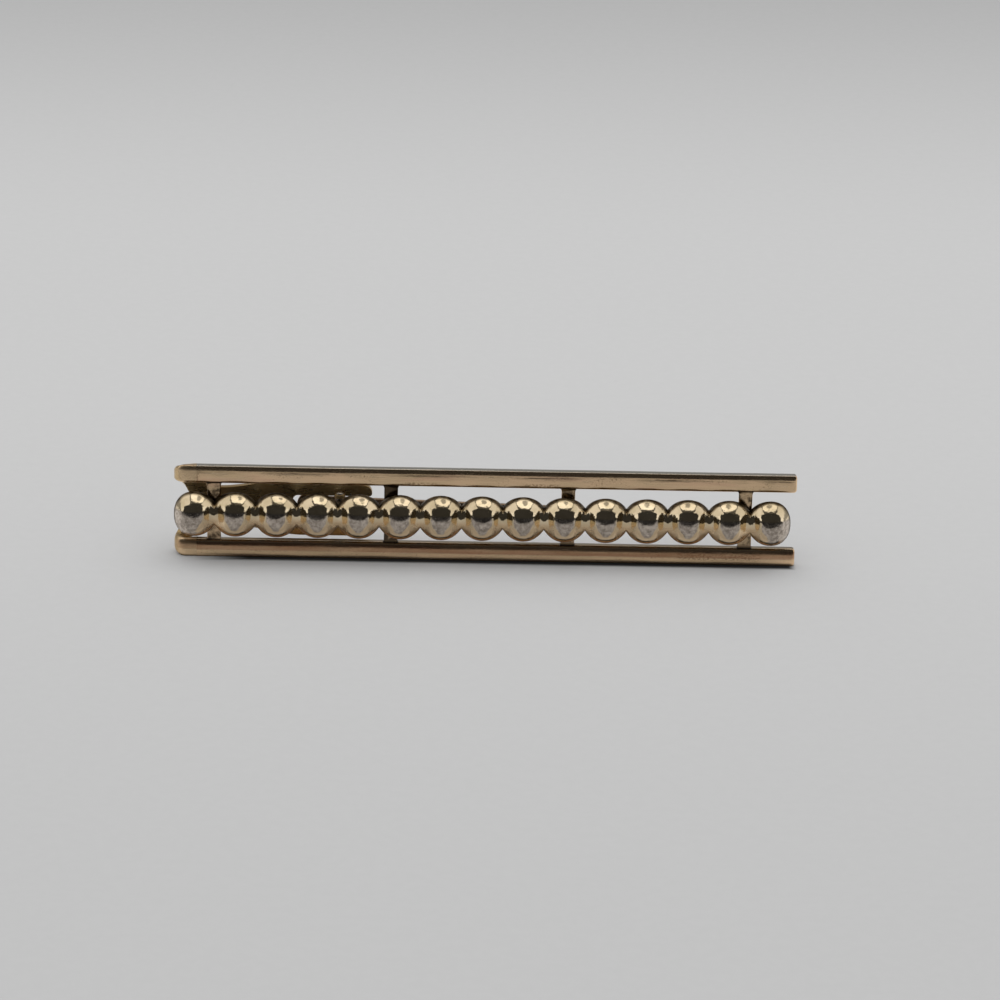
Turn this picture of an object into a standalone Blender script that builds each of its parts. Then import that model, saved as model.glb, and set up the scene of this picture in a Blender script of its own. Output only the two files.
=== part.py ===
"""A gold-tone openwork tie bar: two rails, four cross bars, a strip of stamped domes and a spring grip.

Metres, +Z up. X runs along the bar, Z across its width, and the domes face -Y.
The bar stands on the long edge of its lower rail, with the origin below the middle of its box.
"""

import math

import bmesh
import bpy
from mathutils import Matrix, Vector

MM = 0.001

# Frame: two flattened wires, joined by four cross bars
BAR_LENGTH = 63.5 * MM
RAIL_WIDTH = 1.84 * MM
RAIL_THICKNESS = 1.0 * MM
RAIL_GAP = 6.05 * MM
RAIL_UPPER_ROUND_DEPTH = 0.33 * MM
RAIL_UPPER_ROUND_HEIGHT = 0.52 * MM
RAIL_LOWER_ROUND_DEPTH = 0.26 * MM
RAIL_LOWER_ROUND_HEIGHT = 0.42 * MM
RAIL_EDGE_ROUND = 0.15 * MM
RAIL_END_ROUND = 0.3 * MM
CROSS_BAR_COUNT = 4
CROSS_BAR_WIDTH = 1.4 * MM
CROSS_BAR_THICKNESS = 0.6 * MM
CROSS_BAR_RECESS = 0.06 * MM
CROSS_BAR_ROUND = 0.12 * MM
FIRST_CROSS_BAR = 4.14 * MM
LAST_CROSS_BAR_FROM_END = 5.21 * MM
SOLDER_GAP = 0.05 * MM

# Strip of domes, as many as fit the bar, each pressed a little into the next
DOME_RADIUS = 2.42 * MM
DOME_OVERLAP = 0.645 * MM
DOME_CROWN_RADIUS = 2.2 * MM
DOME_CROWN_ANGLE = 50
DOME_EDGE_ANGLE = 66
RIDGE_CROWN_RADIUS = 1.55 * MM
RIDGE_SLOPE = 44
SADDLE_RADIUS = 0.8 * MM
DIP_BASE_DROP = 0.42 * MM
DOME_SKIRT_DEPTH = 0.83 * MM
DOME_SKIRT_DRAFT = 0.35 * MM
END_DOME_REACH = 2.08 * MM
DOME_SHEET = 0.22 * MM
STRIP_START = 0.04 * MM

# Back leaf, one sheet folded round the left end
SEAM_FROM_END = 2.35 * MM
LEAF_THICKNESS = 0.65 * MM
FOLD_INNER_RADIUS = 0.72 * MM
SHOULDER_DROP = 0.67 * MM
SHOULDER_RUN = 1.1 * MM
NOTCH_DEPTH = 2.4 * MM
NOTCH_FULLNESS = 0.85
NECK_FROM_END = 4.6 * MM
NECK_WIDTH = 3.9 * MM
PADDLE_WIDTH = 6.2 * MM
PADDLE_FULL_FROM_END = 13.2 * MM
LEAF_REACH = 20.2 * MM
PADDLE_CORNER = 1.05 * MM
BLANK_OVERLAP = 0.02 * MM

# Hinge: two lugs turned up from the leaf, a pin, and the grip arm's two cheeks
PIVOT_FROM_LEAF_TIP = 3.3 * MM
PIN_RADIUS = 0.25 * MM
PIN_HEAD_RADIUS = 0.4 * MM
PIN_HEAD_THICKNESS = 0.18 * MM
RUNNING_CLEARANCE = 0.04 * MM
LUG_THICKNESS = 0.4 * MM
LUG_WALL = 0.25 * MM
LUG_SIDE_CLEARANCE = 0.3 * MM
CHEEK_THICKNESS = 0.36 * MM
CHEEK_WALL = 0.22 * MM

# Grip arm: its pad rests behind one cross bar, and its tail is the thumb press
ARM_WIDTH = 1.8 * MM
ARM_THICKNESS = 0.45 * MM
ARM_TAIL = 4.5 * MM
ARM_PAST_CROSS_BAR = 0.9 * MM
ARM_PIVOT_DEPTH = 2.5 * MM
ARM_EDGE_ROUND = 0.08 * MM
GRIP_CROSS_BAR = 3

# Torsion spring on the pin
SPRING_WIRE_RADIUS = 0.09 * MM
SPRING_SIDE_CLEARANCE = 0.06 * MM
SPRING_LEG = 2.6 * MM
SPRING_FOOT_FROM_PIN = 1.1 * MM
SPRING_FOOT_OVERLAP = 0.4 * MM
SPRING_LEG_SINK = 0.01 * MM

# Smoothness
ROUND_STEPS = 4
SMALL_ROUND_STEPS = 2
RAIL_END_STEPS = 3
DOME_STEPS = 12
DOME_ACROSS_STEPS = 12
FOLD_STEPS = 12
EDGE_RUN_STEPS = 6
PIN_SIDES = 24
WIRE_SIDES = 8
CUT_MARGIN = 1.0 * MM
MERGE_DISTANCE = 0.0001 * MM

# Places that follow from the sizes; a depth is measured backwards from the rails' fronts
HEIGHT = 2 * RAIL_WIDTH + RAIL_GAP
MIDDLE_Z = HEIGHT / 2
FOLD_OUTER_RADIUS = FOLD_INNER_RADIUS + LEAF_THICKNESS
LEAF_FRONT = LEAF_THICKNESS + 2 * FOLD_INNER_RADIUS
LEAF_BACK = LEAF_FRONT + LEAF_THICKNESS
CROSS_BAR_BACK = CROSS_BAR_RECESS + CROSS_BAR_THICKNESS
CROSS_BAR_PITCH = (BAR_LENGTH - FIRST_CROSS_BAR - LAST_CROSS_BAR_FROM_END) / (CROSS_BAR_COUNT - 1)
STRIP_BACK = CROSS_BAR_RECESS - SOLDER_GAP
DOME_PITCH = 2 * DOME_RADIUS - DOME_OVERLAP
DOME_COUNT = int((BAR_LENGTH - STRIP_START) / DOME_PITCH)
DOME_BASE = STRIP_BACK - DOME_SKIRT_DEPTH
CROWN_SINE = math.sin(math.radians(DOME_CROWN_ANGLE))
CROWN_COSINE = math.cos(math.radians(DOME_CROWN_ANGLE))
CROWN_EDGE = DOME_CROWN_RADIUS * CROWN_SINE
FLANK_RADIUS = (DOME_RADIUS - CROWN_EDGE) / (
    math.sin(math.radians(DOME_EDGE_ANGLE)) - CROWN_SINE
)
DOME_RISE = DOME_CROWN_RADIUS * (1 - CROWN_COSINE) + FLANK_RADIUS * (
    CROWN_COSINE - math.cos(math.radians(DOME_EDGE_ANGLE))
)
DOME_FRONT = DOME_BASE - DOME_RISE
FOOT_SHARE = 1 - DOME_SKIRT_DRAFT / DOME_RADIUS
PIVOT_FROM_END = LEAF_REACH - PIVOT_FROM_LEAF_TIP
GRIP_X = FIRST_CROSS_BAR + (GRIP_CROSS_BAR - 1) * CROSS_BAR_PITCH
ARM_TIP_DEPTH = CROSS_BAR_BACK + SOLDER_GAP
ARM_SLOPE = math.atan2(ARM_PIVOT_DEPTH - ARM_TIP_DEPTH, GRIP_X - PIVOT_FROM_END)
PIN_DEPTH = LEAF_FRONT - PIN_HEAD_RADIUS - SOLDER_GAP
ARM_TAIL_BACK = (
    ARM_PIVOT_DEPTH
    + ARM_TAIL * math.sin(ARM_SLOPE)
    + ARM_THICKNESS * math.cos(ARM_SLOPE)
)
SLOT_HALF_WIDTH = ARM_WIDTH / 2 + LUG_SIDE_CLEARANCE
ORIGIN_SHIFT = Vector(
    (-BAR_LENGTH / 2, -(max(LEAF_BACK, ARM_TAIL_BACK) + DOME_FRONT) / 2, 0)
)

GOLD = ("pink_gold_wire", (0.72, 0.52, 0.36, 1.0), 0.26)
PALE_GOLD = ("pale_gold_sheet", (0.83, 0.69, 0.45, 1.0), 0.16)
BRASS = ("olive_brass_sheet", (0.6, 0.5, 0.31, 1.0), 0.34)
SPRING_BRASS = ("spring_brass", (0.52, 0.43, 0.28, 1.0), 0.36)
STEEL = ("spring_steel", (0.5, 0.48, 0.44, 1.0), 0.32)


def clear_scene():
    for thing in list(bpy.data.objects):
        bpy.data.objects.remove(thing, do_unlink=True)


def new_collection(name):
    collection = bpy.data.collections.new(name)
    bpy.context.scene.collection.children.link(collection)
    return collection


def make_material(spec):
    name, colour, roughness = spec
    material = bpy.data.materials.get(name) or bpy.data.materials.new(name)
    material.use_nodes = True
    shader = material.node_tree.nodes["Principled BSDF"]
    shader.inputs["Base Color"].default_value = colour
    shader.inputs["Metallic"].default_value = 1.0
    shader.inputs["Roughness"].default_value = roughness
    return material


def place(x, depth, z):
    """A point of the part from its distance from the left end, its depth and its height."""
    return Vector((x, depth, z)) + ORIGIN_SHIFT


def add_object(name, data, collection):
    thing = bpy.data.objects.new(name, data)
    collection.objects.link(thing)
    return thing


def finish(thing, spec, smooth_angle=35):
    thing.data.materials.clear()
    thing.data.materials.append(make_material(spec))
    thing.data.shade_smooth()
    thing.data.set_sharp_from_angle(angle=math.radians(smooth_angle))
    return thing


def as_cutter(thing):
    thing.hide_render = True
    thing.display_type = "WIRE"
    return thing


def arc(centre, radius, start, end, steps):
    """Points on a circle in a plane, from one angle to another in degrees."""
    points = []
    for step in range(steps + 1):
        angle = math.radians(start + (end - start) * step / steps)
        points.append(
            (
                centre[0] + radius * math.cos(angle),
                centre[1] + radius * math.sin(angle),
            )
        )
    return points


def prism(name, outline, low, high, basis, collection):
    """A flat outline swept from low to high along the third axis of a basis, as one closed mesh."""
    curve = bpy.data.curves.new(name, "CURVE")
    curve.dimensions = "2D"
    curve.fill_mode = "BOTH"
    curve.extrude = (high - low) / 2
    spline = curve.splines.new("POLY")
    spline.points.add(len(outline) - 1)
    for point, (u, v) in zip(spline.points, outline):
        point.co = (u, v, 0, 1)
    spline.use_cyclic_u = True
    guide = bpy.data.objects.new(name, curve)
    collection.objects.link(guide)
    bpy.context.view_layer.update()
    evaluated = guide.evaluated_get(bpy.context.evaluated_depsgraph_get())
    mesh = bpy.data.meshes.new_from_object(evaluated)
    bpy.data.objects.remove(guide, do_unlink=True)
    body = bmesh.new()
    body.from_mesh(mesh)
    bmesh.ops.remove_doubles(body, verts=body.verts, dist=MERGE_DISTANCE)
    bmesh.ops.transform(
        body,
        matrix=basis @ Matrix.Translation((0, 0, (low + high) / 2)),
        verts=body.verts,
    )
    bmesh.ops.recalc_face_normals(body, faces=body.faces)
    body.to_mesh(mesh)
    body.free()
    mesh.name = name
    return add_object(name, mesh, collection)


def along_x():
    """Outlines drawn as (depth, height) and swept along the bar."""
    return Matrix.Translation(ORIGIN_SHIFT) @ Matrix(
        ((0, 0, 1, 0), (1, 0, 0, 0), (0, 1, 0, 0), (0, 0, 0, 1))
    )


def along_depth():
    """Outlines drawn as (x, height) and swept from front to back."""
    return Matrix.Translation(ORIGIN_SHIFT) @ Matrix(
        ((1, 0, 0, 0), (0, 0, 1, 0), (0, 1, 0, 0), (0, 0, 0, 1))
    )


def along_z():
    """Outlines drawn as (x, depth) and swept upwards."""
    return Matrix.Translation(ORIGIN_SHIFT)


def cylinder(name, radius, low, high, x, depth, collection):
    """A cylinder standing across the bar's width."""
    body = bmesh.new()
    bmesh.ops.create_cone(
        body,
        cap_ends=True,
        segments=PIN_SIDES,
        radius1=radius,
        radius2=radius,
        depth=high - low,
        matrix=Matrix.Translation(place(x, depth, (low + high) / 2)),
    )
    mesh = bpy.data.meshes.new(name)
    body.to_mesh(mesh)
    body.free()
    return add_object(name, mesh, collection)


def boolean(thing, other, operation):
    modifier = thing.modifiers.new(operation.lower(), "BOOLEAN")
    modifier.operation = operation
    modifier.solver = "EXACT"
    if isinstance(other, bpy.types.Collection):
        modifier.operand_type = "COLLECTION"
        modifier.collection = other
    else:
        modifier.object = other
    return modifier


def bevel(thing, width, segments, angle=50):
    modifier = thing.modifiers.new("edges", "BEVEL")
    modifier.width = width
    modifier.segments = segments
    modifier.limit_method = "ANGLE"
    modifier.angle_limit = math.radians(angle)
    return modifier


def front_corner(depth, height, upward, edge_z):
    """An oval corner between a flat front and a top or bottom face, from the front to that face."""
    corner = []
    for step in range(ROUND_STEPS + 1):
        angle = math.pi / 2 * step / ROUND_STEPS
        corner.append(
            (depth * (1 - math.cos(angle)), edge_z - upward * height * (1 - math.sin(angle)))
        )
    return corner


def rail_section(bottom):
    """The flattened wire's section: oval front edges, the upper one fuller, and small round back edges."""
    top = bottom + RAIL_WIDTH
    edge = RAIL_EDGE_ROUND
    back = RAIL_THICKNESS - edge
    section = front_corner(RAIL_LOWER_ROUND_DEPTH, RAIL_LOWER_ROUND_HEIGHT, -1, bottom)
    section += arc((back, bottom + edge), edge, 270, 360, SMALL_ROUND_STEPS)
    section += arc((back, top - edge), edge, 0, 90, SMALL_ROUND_STEPS)
    section += reversed(front_corner(RAIL_UPPER_ROUND_DEPTH, RAIL_UPPER_ROUND_HEIGHT, 1, top))
    return section


def make_rail(name, bottom, parts):
    start = SEAM_FROM_END + SOLDER_GAP
    rail = prism(name, rail_section(bottom), start, BAR_LENGTH, along_x(), parts)
    group = rail.vertex_groups.new(name="free_end")
    end_x = BAR_LENGTH + ORIGIN_SHIFT.x
    ends = [v.index for v in rail.data.vertices if abs(v.co.x - end_x) < SOLDER_GAP]
    group.add(ends, 1.0, "REPLACE")
    rounding = rail.modifiers.new("free_end", "BEVEL")
    rounding.width = RAIL_END_ROUND
    rounding.segments = RAIL_END_STEPS
    rounding.limit_method = "VGROUP"
    rounding.vertex_group = "free_end"
    return finish(rail, GOLD)


def make_cross_bar(number, parts):
    """A flat bar soldered between the rails, a little behind their fronts."""
    middle = FIRST_CROSS_BAR + (number - 1) * CROSS_BAR_PITCH
    half = CROSS_BAR_WIDTH / 2
    edge = CROSS_BAR_ROUND
    front, back = CROSS_BAR_RECESS, CROSS_BAR_BACK
    section = arc((middle - half + edge, front + edge), edge, 180, 270, SMALL_ROUND_STEPS)
    section += arc((middle + half - edge, front + edge), edge, 270, 360, SMALL_ROUND_STEPS)
    section += [(middle + half, back), (middle - half, back)]
    low = RAIL_WIDTH + SOLDER_GAP
    high = HEIGHT - RAIL_WIDTH - SOLDER_GAP
    bar = prism(f"cross_bar_{number}", section, low, high, along_z(), parts)
    return finish(bar, GOLD)


def dome_height(radius):
    """A dome's height above its base at a distance from its middle: a round crown, then a steep flank."""
    if radius <= CROWN_EDGE:
        drop = DOME_CROWN_RADIUS - math.sqrt(DOME_CROWN_RADIUS ** 2 - radius ** 2)
        return DOME_RISE - drop
    sine = CROWN_SINE + (radius - CROWN_EDGE) / FLANK_RADIUS
    edge_cosine = math.cos(math.radians(DOME_EDGE_ANGLE))
    return FLANK_RADIUS * (math.sqrt(max(1 - sine * sine, 0)) - edge_cosine)


def ridge_height(away):
    """The strip's middle line above the base: round crown, straight flank, round saddle in the dip."""
    slope = math.radians(RIDGE_SLOPE)
    crown = RIDGE_CROWN_RADIUS * math.sin(slope)
    saddle = DOME_PITCH / 2 - SADDLE_RADIUS * math.sin(slope)
    if away <= crown:
        return DOME_RISE - RIDGE_CROWN_RADIUS + math.sqrt(RIDGE_CROWN_RADIUS ** 2 - away ** 2)
    height = DOME_RISE - RIDGE_CROWN_RADIUS * (1 - math.cos(slope))
    if away <= saddle:
        return height - (away - crown) * math.tan(slope)
    height -= (saddle - crown) * math.tan(slope) + SADDLE_RADIUS * (1 - math.cos(slope))
    past = DOME_PITCH / 2 - away
    return height + SADDLE_RADIUS - math.sqrt(SADDLE_RADIUS ** 2 - past ** 2)


def strip_depth(away, up, half, end_side):
    """Depth of the strip's outside: turned round the middle on an end dome's outer side, else swept."""
    if end_side:
        return DOME_BASE - dome_height(min(math.hypot(away, up), DOME_RADIUS))
    dip = (away / (DOME_PITCH / 2)) ** 2
    sink = DIP_BASE_DROP * dip
    across = min(abs(up) / half, 1.0)
    dome = dome_height(DOME_RADIUS * across) / DOME_RISE
    share = dome + (math.sqrt(1 - across * across) - dome) * dip
    ridge = ridge_height(min(abs(away), DOME_PITCH / 2))
    return DOME_BASE + sink - (ridge + sink) * share


def strip_stations():
    """Rows across the strip: rim's x, foot's x, distance from the dome's middle, and end side or not."""
    dip = math.asin(DOME_PITCH / 2 / DOME_RADIUS)
    squash = END_DOME_REACH / DOME_RADIUS
    stations = []
    for number in range(DOME_COUNT):
        middle = STRIP_START + DOME_PITCH * (number + 0.5)
        low = -math.pi / 2 if number == 0 else -dip
        high = math.pi / 2 if number == DOME_COUNT - 1 else dip
        first = 0 if number == 0 else 1
        for step in range(first, DOME_STEPS + 1):
            away = DOME_RADIUS * math.sin(low + (high - low) * step / DOME_STEPS)
            outside = (number == 0 and away < 0) or (number == DOME_COUNT - 1 and away > 0)
            if outside:
                stations.append((middle + away * squash, middle + away * squash * FOOT_SHARE, away, True))
            else:
                stations.append((middle + away, middle + away, away, False))
    return stations


def make_bead_strip(parts):
    """Domes pressed side by side in one strip, hollow behind, with a drafted skirt down to the cross bars."""
    body = bmesh.new()
    rows = []
    for x, foot_x, away, end_side in strip_stations():
        half = math.sqrt(max(DOME_RADIUS ** 2 - away ** 2, 0))
        foot = half * FOOT_SHARE
        row = [body.verts.new(place(foot_x, STRIP_BACK, MIDDLE_Z - foot))]
        for step in range(DOME_ACROSS_STEPS + 1):
            up = half * math.sin(math.pi * (step / DOME_ACROSS_STEPS - 0.5))
            row.append(body.verts.new(place(x, strip_depth(away, up, half, end_side), MIDDLE_Z + up)))
        row.append(body.verts.new(place(foot_x, STRIP_BACK, MIDDLE_Z + foot)))
        rows.append(row)
    for row, following in zip(rows, rows[1:]):
        for a, b, c, d in zip(row, row[1:], following[1:], following):
            body.faces.new((a, b, c, d))
    bmesh.ops.remove_doubles(body, verts=body.verts, dist=MERGE_DISTANCE)
    bmesh.ops.recalc_face_normals(body, faces=body.faces)
    mesh = bpy.data.meshes.new("bead_strip")
    body.to_mesh(mesh)
    body.free()
    strip = add_object("bead_strip", mesh, parts)
    sheet = strip.modifiers.new("sheet", "SOLIDIFY")
    sheet.thickness = DOME_SHEET
    sheet.offset = -1
    sheet.use_even_offset = True
    return finish(strip, PALE_GOLD)


def fold_section():
    """The leaf's sheet seen from above: a short front leg, the fold and the long back leg."""
    centre = (FOLD_OUTER_RADIUS, FOLD_OUTER_RADIUS)
    outer = arc(centre, FOLD_OUTER_RADIUS, 270, 90, FOLD_STEPS)
    inner = arc(centre, FOLD_INNER_RADIUS, 90, 270, FOLD_STEPS)
    return (
        [(SEAM_FROM_END, 0)]
        + outer
        + [(LEAF_REACH, LEAF_BACK), (LEAF_REACH, LEAF_FRONT)]
        + inner
        + [(SEAM_FROM_END, LEAF_THICKNESS)]
    )


def smooth_run(start, end):
    """Points on a gentle S from one point to another, level at both ends."""
    points = []
    for step in range(EDGE_RUN_STEPS + 1):
        share = step / EDGE_RUN_STEPS
        ease = share * share * (3 - 2 * share)
        points.append(
            (
                start[0] + (end[0] - start[0]) * share,
                start[1] + (end[1] - start[1]) * ease,
            )
        )
    return points


def upper_back_edge():
    """The leaf's upper edge, measured up from the middle: shoulder, neck, paddle and round corner."""
    shoulder = HEIGHT / 2 - SHOULDER_DROP
    corner = (LEAF_REACH - PADDLE_CORNER, PADDLE_WIDTH / 2 - PADDLE_CORNER)
    neck = (NECK_FROM_END, NECK_WIDTH / 2)
    full = (PADDLE_FULL_FROM_END, PADDLE_WIDTH / 2)
    return (
        smooth_run((0, shoulder), neck)
        + smooth_run(neck, full)[1:]
        + arc(corner, PADDLE_CORNER, 90, 0, ROUND_STEPS)
    )


def notch_edge():
    """The upper side of the rounded notch between the leaf's two arms, from its mouth to its tip."""
    mouth = RAIL_GAP / 2
    points = []
    for step in range(EDGE_RUN_STEPS + 1):
        share = step / EDGE_RUN_STEPS
        points.append((NOTCH_DEPTH * share, mouth * (1 - share) ** NOTCH_FULLNESS))
    return points


def make_back_leaf(parts, cutters):
    leaf = prism("back_leaf", fold_section(), 0, HEIGHT, along_z(), parts)
    edge = upper_back_edge()
    slot_start = PIVOT_FROM_END - ARM_TAIL - LUG_SIDE_CLEARANCE
    slot = [
        (LEAF_REACH, SLOT_HALF_WIDTH),
        (slot_start, SLOT_HALF_WIDTH),
    ]
    notch = notch_edge()
    upper = [(-CUT_MARGIN, edge[0][1])] + edge + slot
    outline = upper + [(u, -v) for u, v in reversed(upper)]
    outline += [(-CUT_MARGIN, -notch[0][1])]
    outline += [(u, -v) for u, v in notch]
    outline += [(u, v) for u, v in reversed(notch[:-1])]
    outline += [(-CUT_MARGIN, notch[0][1])]
    outline = [(u, v + MIDDLE_Z) for u, v in outline]
    back = as_cutter(
        prism(
            "leaf_blank",
            outline,
            FOLD_OUTER_RADIUS,
            LEAF_BACK + CUT_MARGIN,
            along_depth(),
            cutters,
        )
    )
    shoulder = HEIGHT - SHOULDER_DROP
    front = []
    for u, v in arc((0, 0), 1, 180, 90, ROUND_STEPS):
        front.append((SHOULDER_RUN * (1 + u), shoulder + SHOULDER_DROP * v))
    outer_side = [(-CUT_MARGIN, shoulder)] + front
    outer_side += [(SEAM_FROM_END + CUT_MARGIN, HEIGHT)]
    inner_side = [
        (SEAM_FROM_END + CUT_MARGIN, HEIGHT - RAIL_WIDTH),
        (-CUT_MARGIN, HEIGHT - RAIL_WIDTH),
    ]
    arms = bpy.data.collections.new("leaf_front_arms")
    cutters.children.link(arms)
    upper_arm = outer_side + inner_side
    lower_arm = [(u, HEIGHT - v) for u, v in upper_arm]
    for name, shape in (("upper_arm", upper_arm), ("lower_arm", lower_arm)):
        as_cutter(
            prism(
                name,
                shape,
                -CUT_MARGIN,
                FOLD_OUTER_RADIUS + BLANK_OVERLAP,
                along_depth(),
                arms,
            )
        )
    boolean(back, arms, "UNION")
    boolean(leaf, back, "INTERSECT")
    add_lugs(leaf, cutters)
    return finish(leaf, BRASS)


def add_lugs(leaf, cutters):
    """Two lugs turned up from the sides of the leaf's slot, with the pin's holes through them."""
    reach = PIN_RADIUS + RUNNING_CLEARANCE + LUG_WALL
    overlap = LEAF_THICKNESS / 2
    outline = [
        (PIVOT_FROM_END + reach, LEAF_FRONT + overlap),
        (PIVOT_FROM_END - reach, LEAF_FRONT + overlap),
    ]
    outline += arc((PIVOT_FROM_END, PIN_DEPTH), reach, 180, 360, 2 * ROUND_STEPS)
    lugs = bpy.data.collections.new("lug_shapes")
    cutters.children.link(lugs)
    for side, name in ((1, "upper_lug"), (-1, "lower_lug")):
        inner = MIDDLE_Z + side * SLOT_HALF_WIDTH
        outer = inner + side * LUG_THICKNESS
        as_cutter(
            prism(name, outline, min(inner, outer), max(inner, outer), along_z(), lugs)
        )
    boolean(leaf, lugs, "UNION")
    hole = as_cutter(
        cylinder(
            "lug_holes",
            PIN_RADIUS + RUNNING_CLEARANCE,
            MIDDLE_Z - SLOT_HALF_WIDTH - LUG_THICKNESS - CUT_MARGIN,
            MIDDLE_Z + SLOT_HALF_WIDTH + LUG_THICKNESS + CUT_MARGIN,
            PIVOT_FROM_END,
            PIN_DEPTH,
            cutters,
        )
    )
    boolean(leaf, hole, "DIFFERENCE")


def make_hinge_pin(parts, cutters):
    """A pin through both lugs, with its two ends peened over."""
    outer = SLOT_HALF_WIDTH + LUG_THICKNESS + SOLDER_GAP
    low, high = MIDDLE_Z - outer, MIDDLE_Z + outer
    pin = cylinder(
        "hinge_pin",
        PIN_RADIUS,
        low - PIN_HEAD_THICKNESS / 2,
        high + PIN_HEAD_THICKNESS / 2,
        PIVOT_FROM_END,
        PIN_DEPTH,
        parts,
    )
    heads = bpy.data.collections.new("pin_heads")
    cutters.children.link(heads)
    for name, start in (("lower_head", low - PIN_HEAD_THICKNESS), ("upper_head", high)):
        head = cylinder(
            name,
            PIN_HEAD_RADIUS,
            start,
            start + PIN_HEAD_THICKNESS,
            PIVOT_FROM_END,
            PIN_DEPTH,
            heads,
        )
        bevel(as_cutter(head), PIN_HEAD_THICKNESS / 4, 1)
    boolean(pin, heads, "UNION")
    return finish(pin, STEEL)


def arm_basis():
    """The arm's own frame: along the arm, then backwards through it, with the pin's axis as origin."""
    turn = Matrix.Rotation(-ARM_SLOPE, 4, "Z")
    return Matrix.Translation(place(PIVOT_FROM_END, PIN_DEPTH, 0)) @ turn


def make_grip_arm(parts, cutters):
    """The sprung jaw: a rounded strip, its thumb tail, and two cheeks that hold it on the pin."""
    basis = arm_basis()
    front = (ARM_PIVOT_DEPTH - PIN_DEPTH) * math.cos(ARM_SLOPE)
    reach = (GRIP_X - PIVOT_FROM_END) / math.cos(ARM_SLOPE) + ARM_PAST_CROSS_BAR
    half = ARM_WIDTH / 2
    outline = arc((-ARM_TAIL + half, MIDDLE_Z), half, 90, 270, 2 * ROUND_STEPS)
    outline += arc((reach - half, MIDDLE_Z), half, 270, 450, 2 * ROUND_STEPS)
    facing = Matrix(((1, 0, 0, 0), (0, 0, 1, 0), (0, 1, 0, 0), (0, 0, 0, 1)))
    arm = prism(
        "grip_arm", outline, front, front + ARM_THICKNESS, basis @ facing, parts
    )
    bevel(arm, ARM_EDGE_ROUND, 1)
    bore = PIN_RADIUS + RUNNING_CLEARANCE
    cheek = bore + CHEEK_WALL
    side_view = [(cheek, front + ARM_THICKNESS / 2), (-cheek, front + ARM_THICKNESS / 2)]
    side_view += arc((0, 0), cheek, 180, 360, 2 * ROUND_STEPS)
    cheeks = bpy.data.collections.new("arm_cheeks")
    cutters.children.link(cheeks)
    for side, name in ((1, "upper_cheek"), (-1, "lower_cheek")):
        outer = MIDDLE_Z + side * (half - ARM_EDGE_ROUND)
        inner = outer - side * CHEEK_THICKNESS
        as_cutter(
            prism(name, side_view, min(inner, outer), max(inner, outer), basis, cheeks)
        )
    boolean(arm, cheeks, "UNION")
    hole = as_cutter(
        cylinder(
            "cheek_holes",
            bore,
            MIDDLE_Z - half - CUT_MARGIN,
            MIDDLE_Z + half + CUT_MARGIN,
            PIVOT_FROM_END,
            PIN_DEPTH,
            cutters,
        )
    )
    boolean(arm, hole, "DIFFERENCE")
    finish(arm, SPRING_BRASS)
    pivot = place(PIVOT_FROM_END, PIN_DEPTH, MIDDLE_Z)
    arm.data.transform(Matrix.Translation(-pivot))
    arm.location = pivot
    return arm


def wire_leg(name, start, end, collection):
    """A straight round wire between two points, given as x, depth and height."""
    a, b = place(*start), place(*end)
    body = bmesh.new()
    bmesh.ops.create_cone(
        body,
        cap_ends=True,
        segments=WIRE_SIDES,
        radius1=SPRING_WIRE_RADIUS,
        radius2=SPRING_WIRE_RADIUS,
        depth=(b - a).length,
        matrix=Matrix.Translation((a + b) / 2)
        @ (b - a).to_track_quat("Z", "Y").to_matrix().to_4x4(),
    )
    mesh = bpy.data.meshes.new(name)
    body.to_mesh(mesh)
    body.free()
    return add_object(name, mesh, collection)


def make_torsion_spring(parts, cutters):
    """The closely wound spring as a sleeve on the pin, with a leg on the tail and a foot on the leaf."""
    inner = PIN_RADIUS + RUNNING_CLEARANCE
    outer = inner + 2 * SPRING_WIRE_RADIUS
    length = ARM_WIDTH - 2 * (CHEEK_THICKNESS + ARM_EDGE_ROUND + SPRING_SIDE_CLEARANCE)
    low, high = MIDDLE_Z - length / 2, MIDDLE_Z + length / 2
    spring = cylinder("torsion_spring", outer, low, high, PIVOT_FROM_END, PIN_DEPTH, parts)
    wire = SPRING_WIRE_RADIUS
    inset = wire + SOLDER_GAP
    legs = bpy.data.collections.new("spring_legs")
    cutters.children.link(legs)
    ring = outer - wire - SPRING_LEG_SINK
    tail_depth = (
        ARM_PIVOT_DEPTH
        + SPRING_LEG * math.tan(ARM_SLOPE)
        - (wire + SOLDER_GAP) / math.cos(ARM_SLOPE)
    )
    as_cutter(
        wire_leg(
            "tail_leg",
            (PIVOT_FROM_END, PIN_DEPTH + ring, low + inset),
            (PIVOT_FROM_END - SPRING_LEG, tail_depth, low + inset),
            legs,
        )
    )
    foot_depth = LEAF_FRONT - wire - SOLDER_GAP
    foot_x = PIVOT_FROM_END + SPRING_FOOT_FROM_PIN
    foot_z = MIDDLE_Z + SLOT_HALF_WIDTH + SPRING_FOOT_OVERLAP
    as_cutter(
        wire_leg(
            "foot_leg",
            (PIVOT_FROM_END, PIN_DEPTH - ring, high - inset),
            (foot_x + wire / 2, foot_depth, high - inset),
            legs,
        )
    )
    as_cutter(
        wire_leg(
            "foot",
            (foot_x, foot_depth, high - inset - wire / 2),
            (foot_x, foot_depth, foot_z),
            legs,
        )
    )
    boolean(spring, legs, "UNION")
    bore = as_cutter(
        cylinder(
            "spring_bore",
            inner,
            low - CUT_MARGIN,
            high + CUT_MARGIN,
            PIVOT_FROM_END,
            PIN_DEPTH,
            cutters,
        )
    )
    boolean(spring, bore, "DIFFERENCE")
    return finish(spring, STEEL)


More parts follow.
